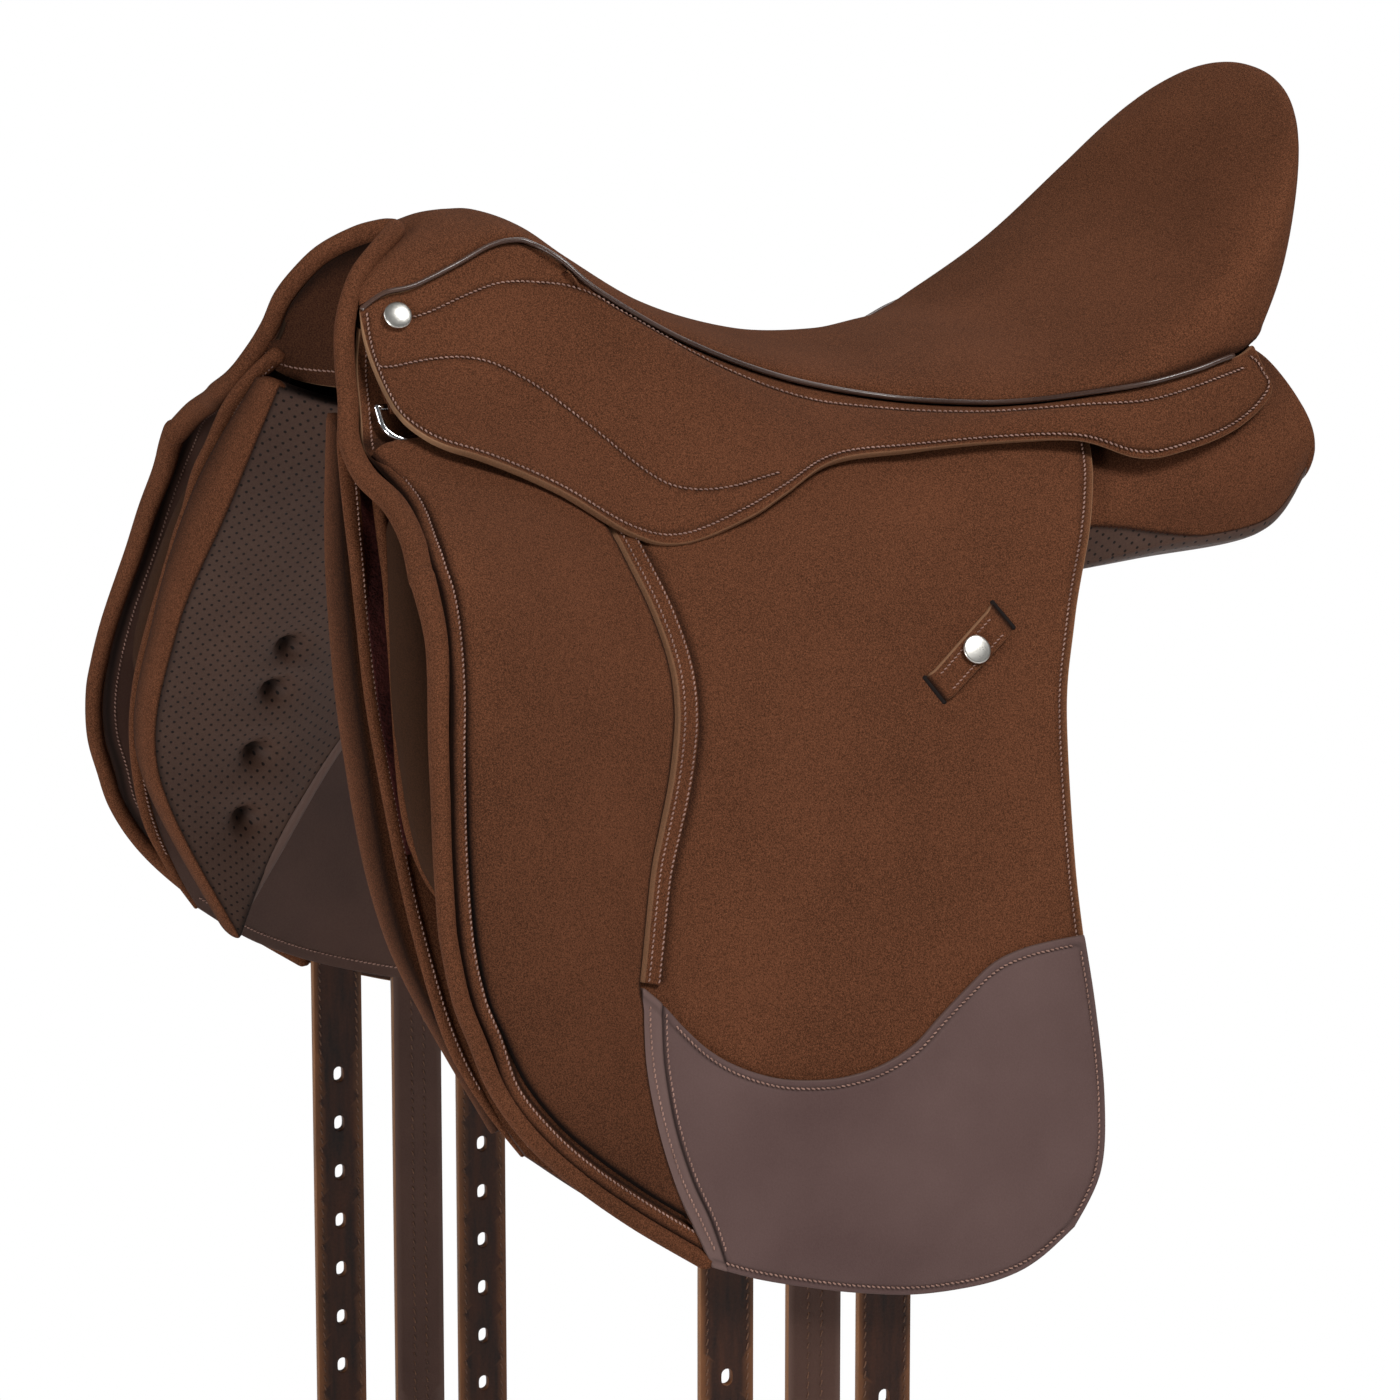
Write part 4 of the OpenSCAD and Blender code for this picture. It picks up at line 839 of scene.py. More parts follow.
# smooth grip patch over the flap's lower part, with a raised strip along its front
gripLook = {
    "top": [(-167, -139.5), (-158, -148), (-149.5, -158.2), (-138.6, -169.4), (-125.8, -178.2), (-109, -185.3),
            (-93, -188.5), (-75.6, -189.4), (-57, -186.6), (-40, -179.7), (-26.8, -169.9), (-13, -160.2), (2.3, -150.6),
            (17, -146.3), (33, -144.8), (48.6, -144.5)],
    "front": [(-167, -139.5), (-169.3, -154), (-169.6, -175), (-166, -200), (-160, -222.5), (-152, -242),
              (-143.6, -261.5)],
    "bottom": [(-143.6, -261.5), (-123, -269.8), (-99, -277), (-75, -283), (-47, -287.8), (-19, -288.2), (-0.3, -285.6),
               (14, -279.8), (31, -268)],
    "rear": [(48.6, -144.5), (49.9, -175), (49.9, -214), (45.4, -245), (31, -268)],
    "strip": [(-157.5, -147), (-158.7, -154), (-160, -173), (-157.6, -198), (-151.4, -222), (-143.5, -241.6),
              (-137.5, -261)],
    "lift": 0.9, "thick": 1.4, "raised": 0.7, "low": 0.2, "rowInside": 2.8,
}
gripEdges = {name: evenly(gripLook[name], 120) for name in ("top", "front", "bottom", "rear", "strip")}
s, t = lattice(150, 90)
s = s * (0.5 + 0.5 * s)
gripYz = patch(gripEdges["top"], gripEdges["bottom"], gripEdges["front"], gripEdges["rear"], s, t)
stripGap = lineDistance(gripYz, gripEdges["strip"])
ahead = gripYz[..., 0] < np.interp(-gripYz[..., 1], -gripEdges["strip"][:, 1], gripEdges["strip"][:, 0])
inStrip = np.where(ahead, ease(stripGap / 1.2), 0)
gripGap = np.minimum.reduce([lineDistance(gripYz, gripEdges[k]) for k in ("top", "bottom", "rear")])
gripGap = gripGap - gripLook["rowInside"]
gripTop = flatFlap(gripYz, gripLook["lift"] + gripLook["thick"])
gripTop[..., 0] += gripLook["raised"] * inStrip - 0.8 * bell(stripGap, 1.0) - 0.4 * bell(gripGap, 0.9)
gripForm = shell(gripTop, flatFlap(gripYz, gripLook["low"]), 0.5, 0.7, 4)
gripMarks = {
    "shade": onShell(gripForm, np.maximum(0.9 * bell(stripGap, 0.8), 0.4 * bell(gripGap, 0.8))),
    "edge": rimMark(gripForm), "wear": onShell(gripForm, 0.5 * inStrip),
}
gripLines = [
    (gripEdges["top"][10:-3] - [0, 2.8], 2.4), (gripEdges["bottom"][4:-4] + [0, 3.0], 2.4),
    (gripEdges["rear"][5:-5] - [3.0, 0], 2.4), (inset(gripEdges["front"], 3.4)[6:-6], 3.1),
    (inset(gripEdges["strip"], 1.6)[4:-5], 2.3),
]
gripRows = []
for line, lift in gripLines:
    line = evenLine(line, 300)
    gripRows.append(stitches(flatFlap(line, lift), flapNormal(line), seam))

# keeper strap: a short band through two slots, with its button; its ends are painted shade, and near-black tubes across
# them are painted shadow in the slots
keeperLook = {
    "ends": np.array([(38.0, -12.0), (-2.0, -37.5)]), "half": 5.8, "thick": 2.4, "foot": 0.4, "bow": 0.5,
    "row": 3.8, "rowLift": 3.35, "rowRadius": 0.3, "stud": np.array([20.0, -23]), "studLift": 4.9, "studTilt": 62,
    "studProfile": [(0.2, -1.6), (3.0, -1.6), (3.0, 0), (6.3, 0), (6.5, 0.3), (6.5, 0.9), (6.3, 1.25), (5.8, 1.45),
                    (5.4, 1.5), (4.2, 1.7), (2.4, 1.85), (0.3, 1.9)],
}
s, t = lattice(60, 16)
strapWay = unit(keeperLook["ends"][1] - keeperLook["ends"][0])
strapSide = np.array([strapWay[1], -strapWay[0]])
keeperYz = mix(*keeperLook["ends"], s[..., None]) + strapSide * (keeperLook["half"] * (1 - 2 * t))[..., None]
keeperYz = keeperYz.transpose(1, 0, 2)
arch = np.minimum(1, np.sin(np.pi * mix(0.02, 0.98, s)) * 3.0).T
rise = keeperLook["foot"] + (keeperLook["thick"] + keeperLook["bow"]) * arch
keeperUnder = flatFlap(keeperYz, rise - keeperLook["thick"] * np.minimum(1, rise / 2.2) * 0.9)
keeperForm = shell(flatFlap(keeperYz, rise), keeperUnder, 0.4, 0.6, 4)
keeperMarks = {"edge": rimMark(keeperForm) * 0.6, "shade": onShell(keeperForm, ease(abs(s - 0.5) * 2 * 8 - 7).T)}
keeperMiddle = mix(*keeperLook["ends"], np.linspace(0.12, 0.88, 40)[:, None])
keeperRows = []
for k in (-keeperLook["row"], keeperLook["row"]):
    line = flatFlap(evenLine(keeperMiddle + strapSide * k, 60), keeperLook["rowLift"])
    keeperRows.append(stitches(line, spread([0.9, 0, 0.44], 60), {**seam, "radius": keeperLook["rowRadius"]}))
# slots: near-black tubes across each end of the strap, painted shadow in the openings
slotLine = np.linspace(-1.06, 1.06, 24)[:, None] * strapSide * keeperLook["half"]
slotShadowForm = together([tube(flatFlap(end - strapWay * out + slotLine, 0.15), 1.15, 0.6, (1, 0, 0), 10)
                     for end, out in zip(keeperLook["ends"], (0.6, -0.6))])
tilt = np.radians(keeperLook["studTilt"])
studAt = flatFlap(keeperLook["stud"], keeperLook["studLift"])
studForm = turned(keeperLook["studProfile"], studAt, [np.sin(tilt), 0, np.cos(tilt)])

# front roll: broad below the skirt, where it is as deep as the knee block behind it, and slim further down
rollLook = {
    "line": [(-238.8, 33.5), (-238.9, 25), (-239, 15), (-240.2, 5), (-243.6, -12.3), (-247.1, -32.4), (-250.5, -52),
             (-253.8, -72), (-256, -92), (-256.8, -108), (-254.4, -131), (-248.5, -150), (-241.2, -170),
             (-227.5, -191.5), (-207, -213), (-178, -237), (-146, -259.5)],
    "wide": [(-36, 5.8), (-25, 5.2), (-10, 4.5), (10, 4.1), (50, 3.8), (110, 3.8), (300, 4.2)],
    "deep": [(-36, 5.8), (-16, 7.0), (20, 7.0), (70, 5.6), (110, 5.0), (300, 4.8)], "face": 3.0,
}
rollYz = evenly(rollLook["line"], 240)
rollWide, rollDeep = (np.interp(-rollYz[:, 1], *np.transpose(rollLook[k])) for k in ("wide", "deep"))
rollForm = tube(flatFlap(rollYz, rollLook["face"] - rollDeep), rollWide, rollDeep, (1, 0, 0), 24)
weltLine = grooveLine[2:-3]
flapRows = [flapRow(inset(rearLine[1:], flapLook["rearRow"])), flapRow(inset(weltLine, flapLook["weltRow"])),
            flapRow(inset(cutLine, flapLook["cutRow"]))]
linedYz = evenLine(inset(weltLine, flapLook["linedRow"]), 400)
linedRow = stitches(flatFlap(linedYz, -flapLook["thick"] - seam["over"]), spread([-1, 0, 0], 400), seam)
flapSewing, gripSewing = together(flapRows + [linedRow] + bandRows), together(gripRows + keeperRows)
slotShadowMarks = {"shade": np.ones(len(slotShadowForm["points"]))}
for side, way in sides.items():
    lift = f"flap_lift_{side}"
    bend = ("saddle", lift, metres(way, *flapLook["bendStart"]), metres(way, *flapLook["bendEnd"]))
    nodes = [f"flap_{side}", f"flap_top_{side}"]
    makePiece(f"flap_{side}_leather", flapForm, [suede, lining], "suede", nodes, way, flapMarks, flapGroup, bend=bend)
    makePiece(f"kneePad_{side}", padForm, suede, "suede", [f"knee_pad_{side}"], way, padMarks, bend=bend, fill=0.6)
    makePiece(f"flapRoll_{side}", rollForm, suede, "suede", [f"flap_roll_{side}"], way, bend=bend)
    makePiece(f"seamBand_{side}", bandForm, suede, "suede", [f"seam_band_{side}"], way, bandMarks, bend=bend)
    makePiece(f"flap_{side}_sewing", flapSewing, thread, "suede", (), way, bend=bend)
    makePiece(f"gripPatch_{side}", gripForm, grip, "grip", [f"grip_patch_{side}"], way, gripMarks, ride=lift)
    makePiece(f"grip_{side}_sewing", gripSewing, thread, "grip", (), way, ride=lift)
    makePiece(f"keeper_{side}_strap", keeperForm, suede, "suede", [f"keeper_{side}"], way, keeperMarks, ride=lift)
    makePiece(f"keeper_{side}_slots", slotShadowForm, lining, "suede", (), way, slotShadowMarks, ride=lift)
    makePiece(f"keeper_{side}_button", studForm, satin, "satin_metal", [f"keeper_stud_{side}"], way, ride=lift)
print("flaps made")


# sweat flap, its rolled suede front edge and the loop strip
sweatLook = {
    "top": [(-238, 52), (-190, 50), (-120, 46), (-50, 43), (8, 40)],
    "bottom": [(-214, -214), (-178, -240), (-130, -262), (-70, -276), (-10, -270)],
    "front": [(-238, 52), (-248.4, 4), (-253, -60), (-252, -110), (-243, -158), (-229, -190), (-214, -214)],
    "rear": [(8, 40), (16, -40), (22, -120), (24, -200), (14, -245), (-10, -270)],
    "thick": 3.0, "faced": 24, "loop": 1.2, "gap": 1.4, "roll": 3.2, "hem": 5,
    "stripTop": 56.0, "stripEnd": -84.0, "stripFrom": 0.5, "stripTo": 15.0,
    "rise": [(48, -227, 90), (61, -235, 76.5), (75, -239.5, 62), (89, -243, 42.5), (101.5, -246, 26)],
    "rollShare": [0, 0.12, 0.3, 0.85, 1], "rollSize": [1.4, 1.4, 1.0, 1.0, 0.35],
}
s, t = lattice(120, 110)
sweatYz = patch(sweatLook["top"], sweatLook["bottom"], sweatLook["front"], sweatLook["rear"], s, t)
sweatForm = shell(onSweat(sweatYz), onSweat(sweatYz, -sweatLook["thick"]), 0.5, 0.7, 4)
faced = (lineDistance(sweatYz, evenly(sweatLook["front"], 120)) < sweatLook["faced"])[:-1, :-1].ravel()
sweatGroup = np.concatenate([faced, np.zeros(len(sweatForm["group"]) - len(faced))]).astype(int)
sweatFront = evenly(sweatLook["front"], 240)
edgePath = onSweat(sweatFront[sweatFront[:, 1] < 8] - [1.0, 0], -1.5)
edgePath = np.concatenate([np.array(sweatLook["rise"]) + [-1.5, -1.0, 0], edgePath[::12], edgePath[-1:]])
edgePath = evenly(edgePath, 300)
edgeHalf = sweatLook["roll"] * np.interp(np.linspace(0, 1, 300), sweatLook["rollShare"], sweatLook["rollSize"])
edgeForm = tube(edgePath, edgeHalf, np.minimum(edgeHalf, sweatLook["roll"]), (1, 0, 0), 16)
hemLine = evenLine(spline(sweatLook["bottom"], np.linspace(0, 0.98, 200)) + [0, sweatLook["hem"]], 300)
sweatRows = []
for x in (0.95, -0.95):
    lean = np.array([x, 0.3, 0])
    sweatRows.append(stitches((edgePath + edgeHalf[:, None] * lean)[6:-30], spread(lean, 264), seam))
for out, lift in ((-1, -sweatLook["thick"] - seam["over"]), (1, seam["over"])):
    sweatRows.append(stitches(onSweat(hemLine, lift), spread([out, 0, 0], 300), seam))

s, t = lattice(24, 120)
stripZ = mix(sweatLook["stripTop"], sweatLook["stripEnd"], t)
edgeLine = evenly(sweatLook["front"], 200)
stripY = np.interp(-stripZ, -edgeLine[:, 1], edgeLine[:, 0]) + mix(sweatLook["stripFrom"], sweatLook["stripTo"], s)
stripYz = np.stack([stripY, stripZ], -1)
fuzz = 0.25 * np.sin(stripY * 9.1 + np.sin(stripZ * 7.3)) * np.sin(stripZ * 8.7)
stripTop = onSweat(stripYz, sweatLook["gap"] + sweatLook["loop"] + fuzz)
stripForm = shell(stripTop, onSweat(stripYz, sweatLook["gap"]), 0.4, 0.7, 3)

# knee block: fills the room between sweat flap and flap, rounded towards its borders, with a sewn roll at its front
blockLook = {
    "front": [(-40, -227), (0, -235.5), (40, -242), (80, -244), (98, -237), (115, -222), (160, -196)],
    "rear": -158.0, "top": 40.0, "end": -160.0, "lean": 0.2, "low": 3.4, "room": 7.2, "edge": 2,
    "roll": [(-229, 55), (-233, 37), (-236, 18), (-238.3, 6.5), (-243, -24.5), (-248, -52), (-249.8, -68), (-249, -82),
             (-245, -97), (-236, -108)],
    "rollRadius": 3.2, "rollLift": 6.4, "rowBack": 2.4, "rowLift": 8.7,
}
s, t = lattice(70, 110)
blockZ = mix(blockLook["top"], blockLook["end"], t)
frontY = mix(valueAt(blockLook["front"], -blockZ), blockLook["rear"], s)
low, high = sweatX(frontY, blockZ) + blockLook["low"], flapX(frontY, blockZ) - blockLook["room"]
full = (np.sin(np.pi * mix(0.06, 0.94, s)) * np.sin(np.pi * mix(0.05, 0.95, t))) ** 0.3
blockX = mix(low + blockLook["edge"], high, full)
blockY = frontY + blockLook["lean"] * (blockX - low) * (1 - s)
blockForm = shell(np.stack([blockX, blockY, blockZ], -1), np.stack([low, frontY, blockZ], -1), 0.8, 1.0, 5)
# painted shade beside the front border, and painted light: the wear mark lightens the whole block, which the lamps
# barely reach
blockMarks = {"shade": onShell(blockForm, 0.85 * bell(s * 70, 3.0)), "wear": onShell(blockForm, 0.35 + 0 * s)}
blockRoll = evenly(blockLook["roll"], 160)
slim = blockLook["rollRadius"] * (0.35 + 0.65 * np.minimum(1, np.linspace(1, 0, 160) * 5))
blockRollForm = tube(onSweat(blockRoll, blockLook["rollLift"]), slim, slim, (1, 0, 0), 16)
blockLine = onSweat(blockRoll + [blockLook["rowBack"], 0], blockLook["rowLift"])
blockRow = stitches(blockLine, spread([0.7, 0.7, 0], 160), seam)
sweatMarks, sweatSewing = {"edge": rimMark(sweatForm) * 0.7}, together(sweatRows)
for side, way in sides.items():
    nodes = [f"sweat_flap_{side}"]
    makePiece(f"sweatFlap_{side}", sweatForm, [lining, suede], "lining", nodes, way, sweatMarks, sweatGroup)
    makePiece(f"sweatFlap_{side}_edge", edgeForm, suede, "suede", (), way)
    makePiece(f"sweatFlap_{side}_sewing", sweatSewing, thread, "lining", (), way)
    makePiece(f"loopStrip_{side}", stripForm, pile, "pile", [f"loop_strip_{side}"], way)
    makePiece(f"kneeBlock_{side}", blockForm, suede, "suede", [f"knee_block_{side}"], way, blockMarks, fill=0.8)
    makePiece(f"kneeBlock_{side}_roll", blockRollForm, suede, "suede", (), way)
    makePiece(f"kneeBlock_{side}_sewing", blockRow, thread, "suede", (), way)
print("sweat flaps and knee blocks made")


# panel: inner and outer side as five points for each station, from the channel down to the lower edge
panelLook = {
    "inner": [[(31, -233, 79), (63, -246, 18), (107, -257, -51), (146, -253, -128), (157, -210, -217)],
              [(30, -196, 66), (52, -198, 30), (102, -202, -42), (143, -196, -116), (162, -190, -178)],
              [(31, -140, 61), (42, -140, 30), (92, -142, -22), (134, -145, -68), (156, -150, -116)],
              [(33, -70, 56), (40, -70, 24), (76, -70, -4), (112, -74, -20), (140, -78, -40)],
              [(35, 0, 53), (42, 0, 17), (76, 0, -7), (100, 0, -12), (122, -2, -17)],
              [(37, 70, 53), (44, 70, 15), (76, 70, -10), (103, 70, -10), (123, 70, -6)],
              [(40, 130, 60), (46, 130, 17), (76, 130, -8), (102, 130, -7), (121, 130, 0)],
              [(46, 174, 75), (52, 184, 26), (78, 194, -2), (100, 193, -2), (115, 189, 3)],
              [(56, 190, 83), (60, 208, 50), (76, 220, 22), (92, 219, 19), (104, 216, 23)]],
    "outer": [[(52, -236, 78.5), (96, -250, 20), (135, -257, -50), (170, -254, -126), (175, -214, -211)],
              [(62, -196, 58), (92, -198, 10), (131, -200, -52), (162, -194, -118), (166, -187, -181)],
              [(60, -140, 57), (84, -140, 22), (119, -142, -20), (149, -145, -68), (160, -148, -119)],
              [(63, -70, 53), (77, -70, 36), (98, -70, 12), (118, -74, -10), (142, -77, -43)],
              [(64, 0, 52), (75, 0, 38), (92, 0, 20), (106, 0, 6), (126, -2, -17)],
              [(84, 70, 52), (103, 70, 42), (117, 70, 28), (126, 70, 14), (127, 70, -3)],
              [(94, 130, 60), (112, 130, 50), (123, 130, 38), (128, 130, 24), (125, 130, 5)],
              [(90, 176, 79), (106, 181, 67), (118, 187, 48), (122, 190, 29), (118, 189, 9)],
              [(74, 194, 85), (90, 203, 77), (103, 213, 59), (110, 217, 43), (107, 216, 29)]],
    "tufts": [(-196, -68), (-199, -92), (-203, -126), (-206, -160)], "tuftDeep": 10.0, "tuftSoft": 3.5,
    "tuftWay": np.array([0.96, 0, 0.28]), "outward": [0.75, 0, 0], "long": 520, "deep": 200, "welt": 2.9,
    "seam": [(0.5, 0.70), (0.6, 0.72), (0.677, 0.758), (0.746, 0.90), (0.80, 1.0), (1.0, 1.0)], "rows": 190, "cols": 96,
}


def panelSide(stations, s, t):
    across = np.stack([spline(row, t) for row in stations])
    last = len(stations) - 1
    x = np.clip(s, 0, 1) * last
    k = np.minimum(x.astype(int), last - 1)
    pick = lambda n: np.take_along_axis(across, np.clip(n, 0, last)[None, ..., None], 0)[0]
    return cubic(pick(k - 1), pick(k), pick(k + 1), pick(k + 2), (x - k)[..., None])


s, t = lattice(panelLook["rows"], panelLook["cols"])
panelOuter = panelSide(panelLook["outer"], s, t) + panelLook["outward"]
panelInner = panelSide(panelLook["inner"], s, t)

# where each point lies on the flat leather, for its punched holes: along the panel, and the way down from its top
step = np.linalg.norm(np.diff(panelInner, axis=1), axis=-1)
fallen = np.concatenate([np.zeros((len(s), 1)), np.cumsum(step, 1)], 1)
panelPlace = np.stack([panelInner[..., 1], fallen, 0 * s], -1)
tuftGaps = [np.hypot((panelInner[..., 1] - a) / 1.25, panelInner[..., 2] - b) for a, b in panelLook["tufts"]]
tuftGap = np.min(tuftGaps, axis=0)
pulled = panelLook["tuftDeep"] * bell(tuftGap, 4.8) + panelLook["tuftSoft"] * bell(tuftGap, 16.0)
panelInner = panelInner + panelLook["tuftWay"] * pulled[..., None]
panelForm = shell(panelOuter, panelInner, 0.28, 1.0, 9)
count, loop = panelForm["count"], panelForm["loop"]
rim = panelForm["points"][2 * count:].reshape(panelForm["loops"], -1, 3)
rimAway = np.linalg.norm(rim - panelInner.reshape(-1, 3)[loop], axis=-1)[..., None]
rimPlace = panelPlace.reshape(-1, 3)[loop] + rimAway * [0, 1, 0]

# marks: painted shade beside the front border, along the seam, under the flaps, in the tufts and on the rim
fore, topRim = s < 0.5, ((t < 0.01) & (s > 0.02)).ravel()[loop]
border = np.minimum(np.minimum(s, 1 - s) * panelLook["long"], np.minimum(t, 1 - t) * panelLook["deep"])
seamShare = np.interp(s, *np.transpose(panelLook["seam"]))
seamGap = abs(t - seamShare) * 100 + 99 * fore
outerShade = np.maximum.reduce([
    0.8 * bell(border, 3) * fore, 0.85 * bell(seamGap, 1.5), 0.5 * ease((0.55 - t) / 0.4) * (s > 0.5)])
innerShade = np.maximum(0.85 * bell(border, 3) * fore, 0.98 * bell(tuftGap, 3.8))
frontShade = np.linspace(0.95, -0.6, panelForm["loops"])[:, None] * (s < 0.01).ravel()[loop]
panelMarks = {
    "shade": np.concatenate([outerShade.ravel(), innerShade.ravel(), np.maximum(frontShade, 0.95 * topRim).ravel()]),
    "place": np.concatenate([panelPlace.reshape(-1, 3)] * 2 + [rimPlace.reshape(-1, 3)]),
}
lowRim = (t > 0.99).ravel()[loop] | topRim
below = (t > seamShare)[:-1, :-1] & (s > 0.5)[:-1, :-1]
rimGroup = np.tile(lowRim, panelForm["loops"] + 1)
panelGroup = np.concatenate([below.ravel(), np.ones(below.size), rimGroup]).astype(int)
weltLine = evenLine(mix(panelInner[2:86, -1], panelOuter[2:86, -1], 0.4), 160)
weltForm = tube(weltLine, panelLook["welt"], panelLook["welt"], (1, 0, 0), 12)
weltMarks = {"wear": np.full(len(weltForm["points"]), 0.9)}
for side, way in sides.items():
    makePiece(f"panel_{side}_welt", weltForm, lining, "lining", (), way, weltMarks)
    finishes, nodes = [suede, punched], [f"panel_{side}"]
    makePiece(f"panel_{side}_cushion", panelForm, finishes, "lining", nodes, way, panelMarks, panelGroup, fill=0.8)
print("panels made")


# girth straps: middle, height of the bend and way from there to the first hole for each
# a strap is one sheet from the top of the sweat flap over the bend to the tip, with oval holes in square cells
strapLook = {
    "front": (-132, -272, 46), "middle": (-90, -285, 216), "rear": (-56, -293, 46),
    "wide": 25.4, "thick": 4.0, "drop": 300.0, "pitch": 25.4, "holeWide": 5.0, "holeLong": 7.5, "holes": 9,
    "lastHole": 20, "top": 44.0, "x": 233.6, "gap": 1.4, "bendReach": 30, "bendHalf": 8, "worn": 0.0006,
    "row": 9.6, "middleRow": 3.2, "rowPitch": 4.6, "rowStart": 8, "rowEnd": 10,
}


# one square cell with an oval hole: rings that go from the hole's border to the square's
def holeCell(centre, sizes):
    side, one = np.linspace(-1, 1, 9)[:-1], np.ones(8)
    square = np.stack([np.concatenate([side, one, -side, -one]), np.concatenate([-one, side, one, -side])], -1)
    square = square * [sizes["wide"] / 2, sizes["pitch"] / 2]
    angle = np.arctan2(square[:, 1], square[:, 0])
    long = (sizes["holeLong"] - sizes["holeWide"]) / 2
    oval = np.stack([np.cos(angle), np.sin(angle)], -1) * sizes["holeWide"] / 2
    oval[:, 1] += np.sign(np.sin(angle)) * long * np.minimum(1, 3 * abs(np.sin(angle)))
    share = np.array([0, 0.12, 0.45, 1.0])[:, None, None]
    points = mix(oval, square, share) + centre
    index = np.arange(4 * 32).reshape(4, 32)
    beside = np.roll(index, -1, 1)
    return points.reshape(-1, 2), np.stack([index[:-1], index[1:], beside[1:], beside[:-1]], -1).reshape(-1, 4)


# plain length of strap as a grid from one distance to another, the last of them with a rounded tip
def plainCell(start, end, sizes, tip=False):
    rows = max(2, int((end - start) / 4))
    a, b = np.meshgrid(np.linspace(-1, 1, 9) * sizes["wide"] / 2, np.linspace(0, 1, rows), indexing="xy")
    radius = 0.75 * sizes["wide"]
    finish = end - (radius - np.sqrt(radius ** 2 - a ** 2) if tip else 0)
    points = np.stack([a, mix(start, finish, b)], -1)
    index = np.arange(rows * 9).reshape(rows, 9)
    quads = np.stack([index[:-1, :-1], index[:-1, 1:], index[1:, 1:], index[1:, :-1]], -1)
    return points.reshape(-1, 2), quads.reshape(-1, 4)


# flat strap: width and way down for each point, its cells joined where their borders meet
def strapCells(spec, sizes):
    bendAt, half = sizes["top"] - spec[1], sizes["pitch"] / 2
    ways = spec[2] + sizes["pitch"] * np.arange(sizes["holes"])
    centres = bendAt + ways[ways < sizes["drop"] - sizes["lastHole"]]
    cells = [plainCell(0, centres[0] - half, sizes)] + [holeCell((0, c), sizes) for c in centres]
    cells.append(plainCell(centres[-1] + half, bendAt + sizes["drop"], sizes, True))
    start = np.cumsum([0] + [len(p) for p, _ in cells])
    quads = np.concatenate([f + k for (_, f), k in zip(cells, start)])
    points, back = np.unique(np.round(np.concatenate([p for p, _ in cells]), 2), axis=0, return_inverse=True)
    return points, back.reshape(-1)[quads]


def strapPlace(flat, spec, lift):
    y, z = spec[0] + flat[:, 0], strapLook["top"] - flat[:, 1]
    resting = sweatX(np.full_like(z, spec[0]), np.maximum(z, spec[1])) + strapLook["gap"] + strapLook["thick"] / 2
    hanging = ease((spec[1] + strapLook["bendReach"] - z) / strapLook["bendReach"])
    return np.stack([mix(resting, strapLook["x"], hanging) + lift, y, z], -1)


for name in ("front", "middle", "rear"):
    spec, half = strapLook[name], strapLook["thick"] / 2
    flat, quads = strapCells(spec, strapLook)
    form = {"points": strapPlace(flat, spec, half), "quads": quads[:, ::-1]}
    faceWear = 0.7 * ease((abs(flat[:, 0]) - 11.2) / 1.4)
    tip = strapLook["top"] - spec[1] + strapLook["drop"]
    length = np.linspace(strapLook["rowStart"], tip - strapLook["rowEnd"], 500)
    across = strapLook["middleRow" if name == "middle" else "row"]
    rows = []
    for k in (-across, across):
        for face in (1, -1):
            line = strapPlace(np.stack([np.full(500, k), length], -1), spec, half * face)
            rows.append(stitches(line, spread([face, 0, 0], 500), {**seam, "pitch": strapLook["rowPitch"]}))
    sewing = together(rows)
    finishes = [lining if name == "middle" else strapLeather, strapEdge]
    for side, way in sides.items():
        ends = [metres(way, strapLook["x"], spec[0], spec[1] + k * strapLook["bendHalf"]) for k in (1, -1)]
        bend = ("saddle", f"{name}_billet_{side}", *ends)
        strap = addPiece(f"{name}Strap_{side}", form, finishes, way, {"wear": faceWear})
        wall = strap.modifiers.new("thickness", "SOLIDIFY")
        wall.thickness, wall.offset, wall.material_offset_rim = strapLook["thick"] / 1000, -1.0, 1
        soft = strap.modifiers.new("worn", "BEVEL")
        soft.width, soft.segments, soft.limit_method = strapLook["worn"], 2, "ANGLE"
        nodes = [f"{name}_strap_{side}"] + ([f"strap_tops_{side}"] if name == "front" else [])
        finishPiece(strap, "strap_leather", nodes, bend=bend)
        makePiece(f"{name}Strap_{side}_sewing", sewing, darkThread, "strap_leather", (), way, bend=bend)
print("straps made")


# facing under the cantle, lining of the channel and girth webs, as smooth sheets
insideLook = {
    "cantleEnd": (187, 79), "sheet": 2, "web": 1.4, "webAt": 61,
    "channel": [(-140, 62), (-70, 57), (0, 54), (70, 54), (120, 60), (150, 68)],
    "cantleSpan": (-0.97, 0.97), "cantleNarrow": 0.9, "cantleOff": [0, 4, 1.5], "channelLong": (-180, 156),
    "channelWide": (-26, 26), "channelRise": 3, "channelBow": 0.0005, "webLong": (-126, -34), "webWide": (56, 68),
}
s, t = lattice(90, 30, *insideLook["cantleSpan"])
rear = seatPoint(np.ones_like(s), s, 0 * s)
footX, (footY, footZ) = rear[..., 0] * insideLook["cantleNarrow"], insideLook["cantleEnd"]
foot = np.stack([footX, 0 * s + footY, 0 * s + footZ], -1)
cantle = mix(rear - insideLook["cantleOff"], foot, t[..., None])[::-1]
form = shell(cantle - [0, 0, insideLook["sheet"]], cantle, 0.4, 0.7, 3)
makePiece("cantleFacing", form, lining, "lining", ["cantle_facing"])
y, x = lattice(120, 24, *insideLook["channelLong"], *insideLook["channelWide"])
z = valueAt(insideLook["channel"], y) + insideLook["channelRise"] - insideLook["channelBow"] * x * x
channel = np.stack([x, y, z], -1)
form = shell(channel, channel - [0, 0, insideLook["sheet"]], 0.4, 0.7, 3)
makePiece("channelLining", form, lining, "lining", ["channel_lining"])
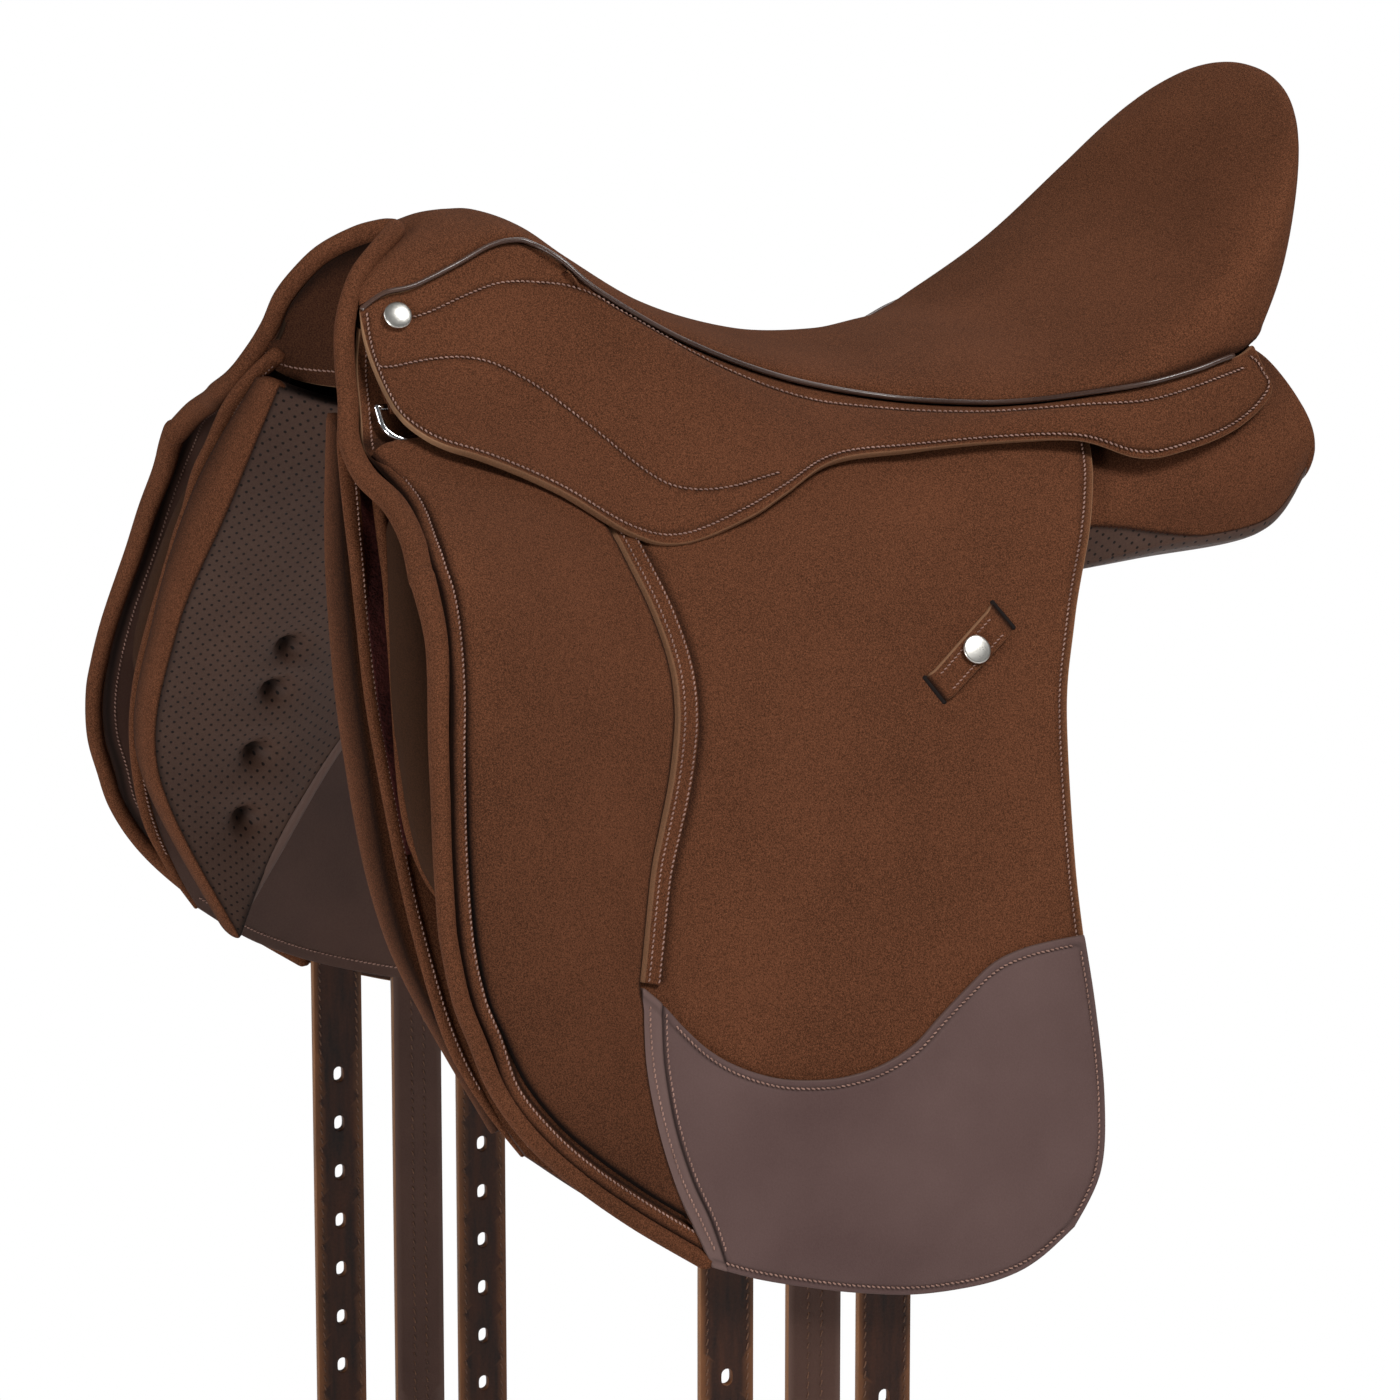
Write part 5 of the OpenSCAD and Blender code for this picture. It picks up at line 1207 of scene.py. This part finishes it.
y, x = lattice(60, 12, *insideLook["webLong"], *insideLook["webWide"])
web = np.stack([x, y, 0 * x + insideLook["webAt"]], -1)
form = shell(web, web - [0, 0, insideLook["web"]], 0.4, 0.7, 3)
makePiece("girthWebs", together([form, mirrored(form)]), webbing, "webbing", ["girth_webs"])

# nail buttons: plain domed heads on the front of the skirts, square to the leather
nailLook = {
    "at": np.array([46.85, -206.25, 124.4]),
    "profile": [(0.2, -1.0), (3, -1.0), (3, 0), (6.0, 0), (6.25, 0.25), (6.25, 0.7), (6.0, 1.0), (5.4, 1.3), (4.2, 1.7),
                (2.6, 2.05), (1.2, 2.2), (0.2, 2.25)],
}
nearest = np.linalg.norm(skirtGrid.reshape(-1, 3) - nailLook["at"], axis=1).argmin()
nailForm = turned(nailLook["profile"], nailLook["at"], skirtOut.reshape(-1, 3)[nearest])
makePiece("nailButtons_domed", together([nailForm, mirrored(nailForm)]), satin, "satin_metal", ["nail_buttons"])

# finishes of the CAD pieces that stay
stays = {
    "tree": plastic, "tree_rails": plastic, "gullet_plate": steel, "gullet_screws": steel, "stirrup_bar_rivets": steel,
    "stirrup_bar_near": steel, "stirrup_bar_off": steel, "bar_catch_near": steel, "bar_catch_off": steel,
    "dee_near": chrome, "dee_off": chrome, "dee_tab_near": suede, "dee_tab_off": suede,
}
for node, finish in stays.items():
    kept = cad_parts[node]
    kept.data.materials.clear()
    kept.data.materials.append(finish)
print("small pieces made")


# floor: pale, with the shadow kept near the part and plain white further off where the camera looks at it
stageLook = {
    "floor": -0.63, "size": 9.0, "shadow": (0.66, 0.8), "back": (0.882, -0.393, 0.259), "target": (0.0, -0.04, -0.08),
    "away": 3.3, "lens": 183.86, "world": 0.14, "aim": (0, -0.03, -0.05),
}
lampLook = {
    "key": ((2.0, 0.9, 2.9), 1.2, 104), "left": ((-0.6, -2.8, 1.1), 0.9, 17), "front": ((1.5, -2.7, 0.1), 0.7, 34),
    "back": ((-1.6, 1.8, 2.0), 1.6, 24),
}
f = Finish("paleFloor")
pale = f.mixed(f.noise(f.spot(), 3, 2), (0.86, 0.86, 0.86, 1), (0.9, 0.9, 0.9, 1))
away = f.node("ShaderNodeVectorMath", {"operation": "LENGTH"}, {0: f.spot()}, out="Value")
clear = ((away - stageLook["shadow"][0]) / (stageLook["shadow"][1] - stageLook["shadow"][0])).held()
shine = f.node("ShaderNodeLightPath", out="Is Camera Ray") * clear
plain = f.node("ShaderNodeBsdfPrincipled", {}, {"Base Color": pale, "Roughness": 0.9})
white = f.node("ShaderNodeEmission", {}, {"Color": (1, 1, 1, 1), "Strength": 1.0})
output = f.tree.nodes.new("ShaderNodeOutputMaterial")
f.tree.links.new(f.node("ShaderNodeMixShader", {}, {0: shine, 1: plain, 2: white}).socket, output.inputs["Surface"])
corner, level = stageLook["size"] / 2, stageLook["floor"]
floorMesh = bpy.data.meshes.new("floor")
floorCorners = [(x * corner, y * corner, level) for x, y in ((-1, -1), (1, -1), (1, 1), (-1, 1))]
floorMesh.from_pydata(floorCorners, [], [(0, 1, 2, 3)])
floorMesh.materials.append(f.material)
floor = bpy.data.objects.new("floor", floorMesh)
scene.collection.objects.link(floor)

# world: white to the camera, dim as a light
world = bpy.data.worlds.new("studio")
scene.world = world
world.use_nodes = True
nodes, links = world.node_tree.nodes, world.node_tree.links
nodes.clear()
path, output = nodes.new("ShaderNodeLightPath"), nodes.new("ShaderNodeOutputWorld")
blend = nodes.new("ShaderNodeMixShader")
links.new(path.outputs["Is Camera Ray"], blend.inputs[0])
for slot, strength in ((1, stageLook["world"]), (2, 1.0)):
    shade = nodes.new("ShaderNodeBackground")
    shade.inputs["Strength"].default_value, shade.inputs["Color"].default_value = strength, (1, 1, 1, 1)
    links.new(shade.outputs[0], blend.inputs[slot])
links.new(blend.outputs[0], output.inputs["Surface"])

for name, (place, size, power) in lampLook.items():
    light = bpy.data.lights.new(name, "AREA")
    light.shape, light.size, light.energy = "SQUARE", size, power
    lamp = bpy.data.objects.new(name, light)
    lamp.location = place
    lamp.rotation_euler = (Vector(stageLook["aim"]) - Vector(place)).to_track_quat("-Z", "Y").to_euler()
    scene.collection.objects.link(lamp)

lens = bpy.data.cameras.new("camera")
lens.lens, lens.sensor_width, lens.clip_end = stageLook["lens"], 36, 50
camera = bpy.data.objects.new("camera", lens)
back = Vector(stageLook["back"]).normalized()
camera.location = Vector(stageLook["target"]) + back * stageLook["away"]
camera.rotation_euler = back.to_track_quat("Z", "Y").to_euler()
scene.collection.objects.link(camera)
scene.camera = camera
scene.view_settings.view_transform = "Standard"
print("stage made")

bpy.context.view_layer.update()
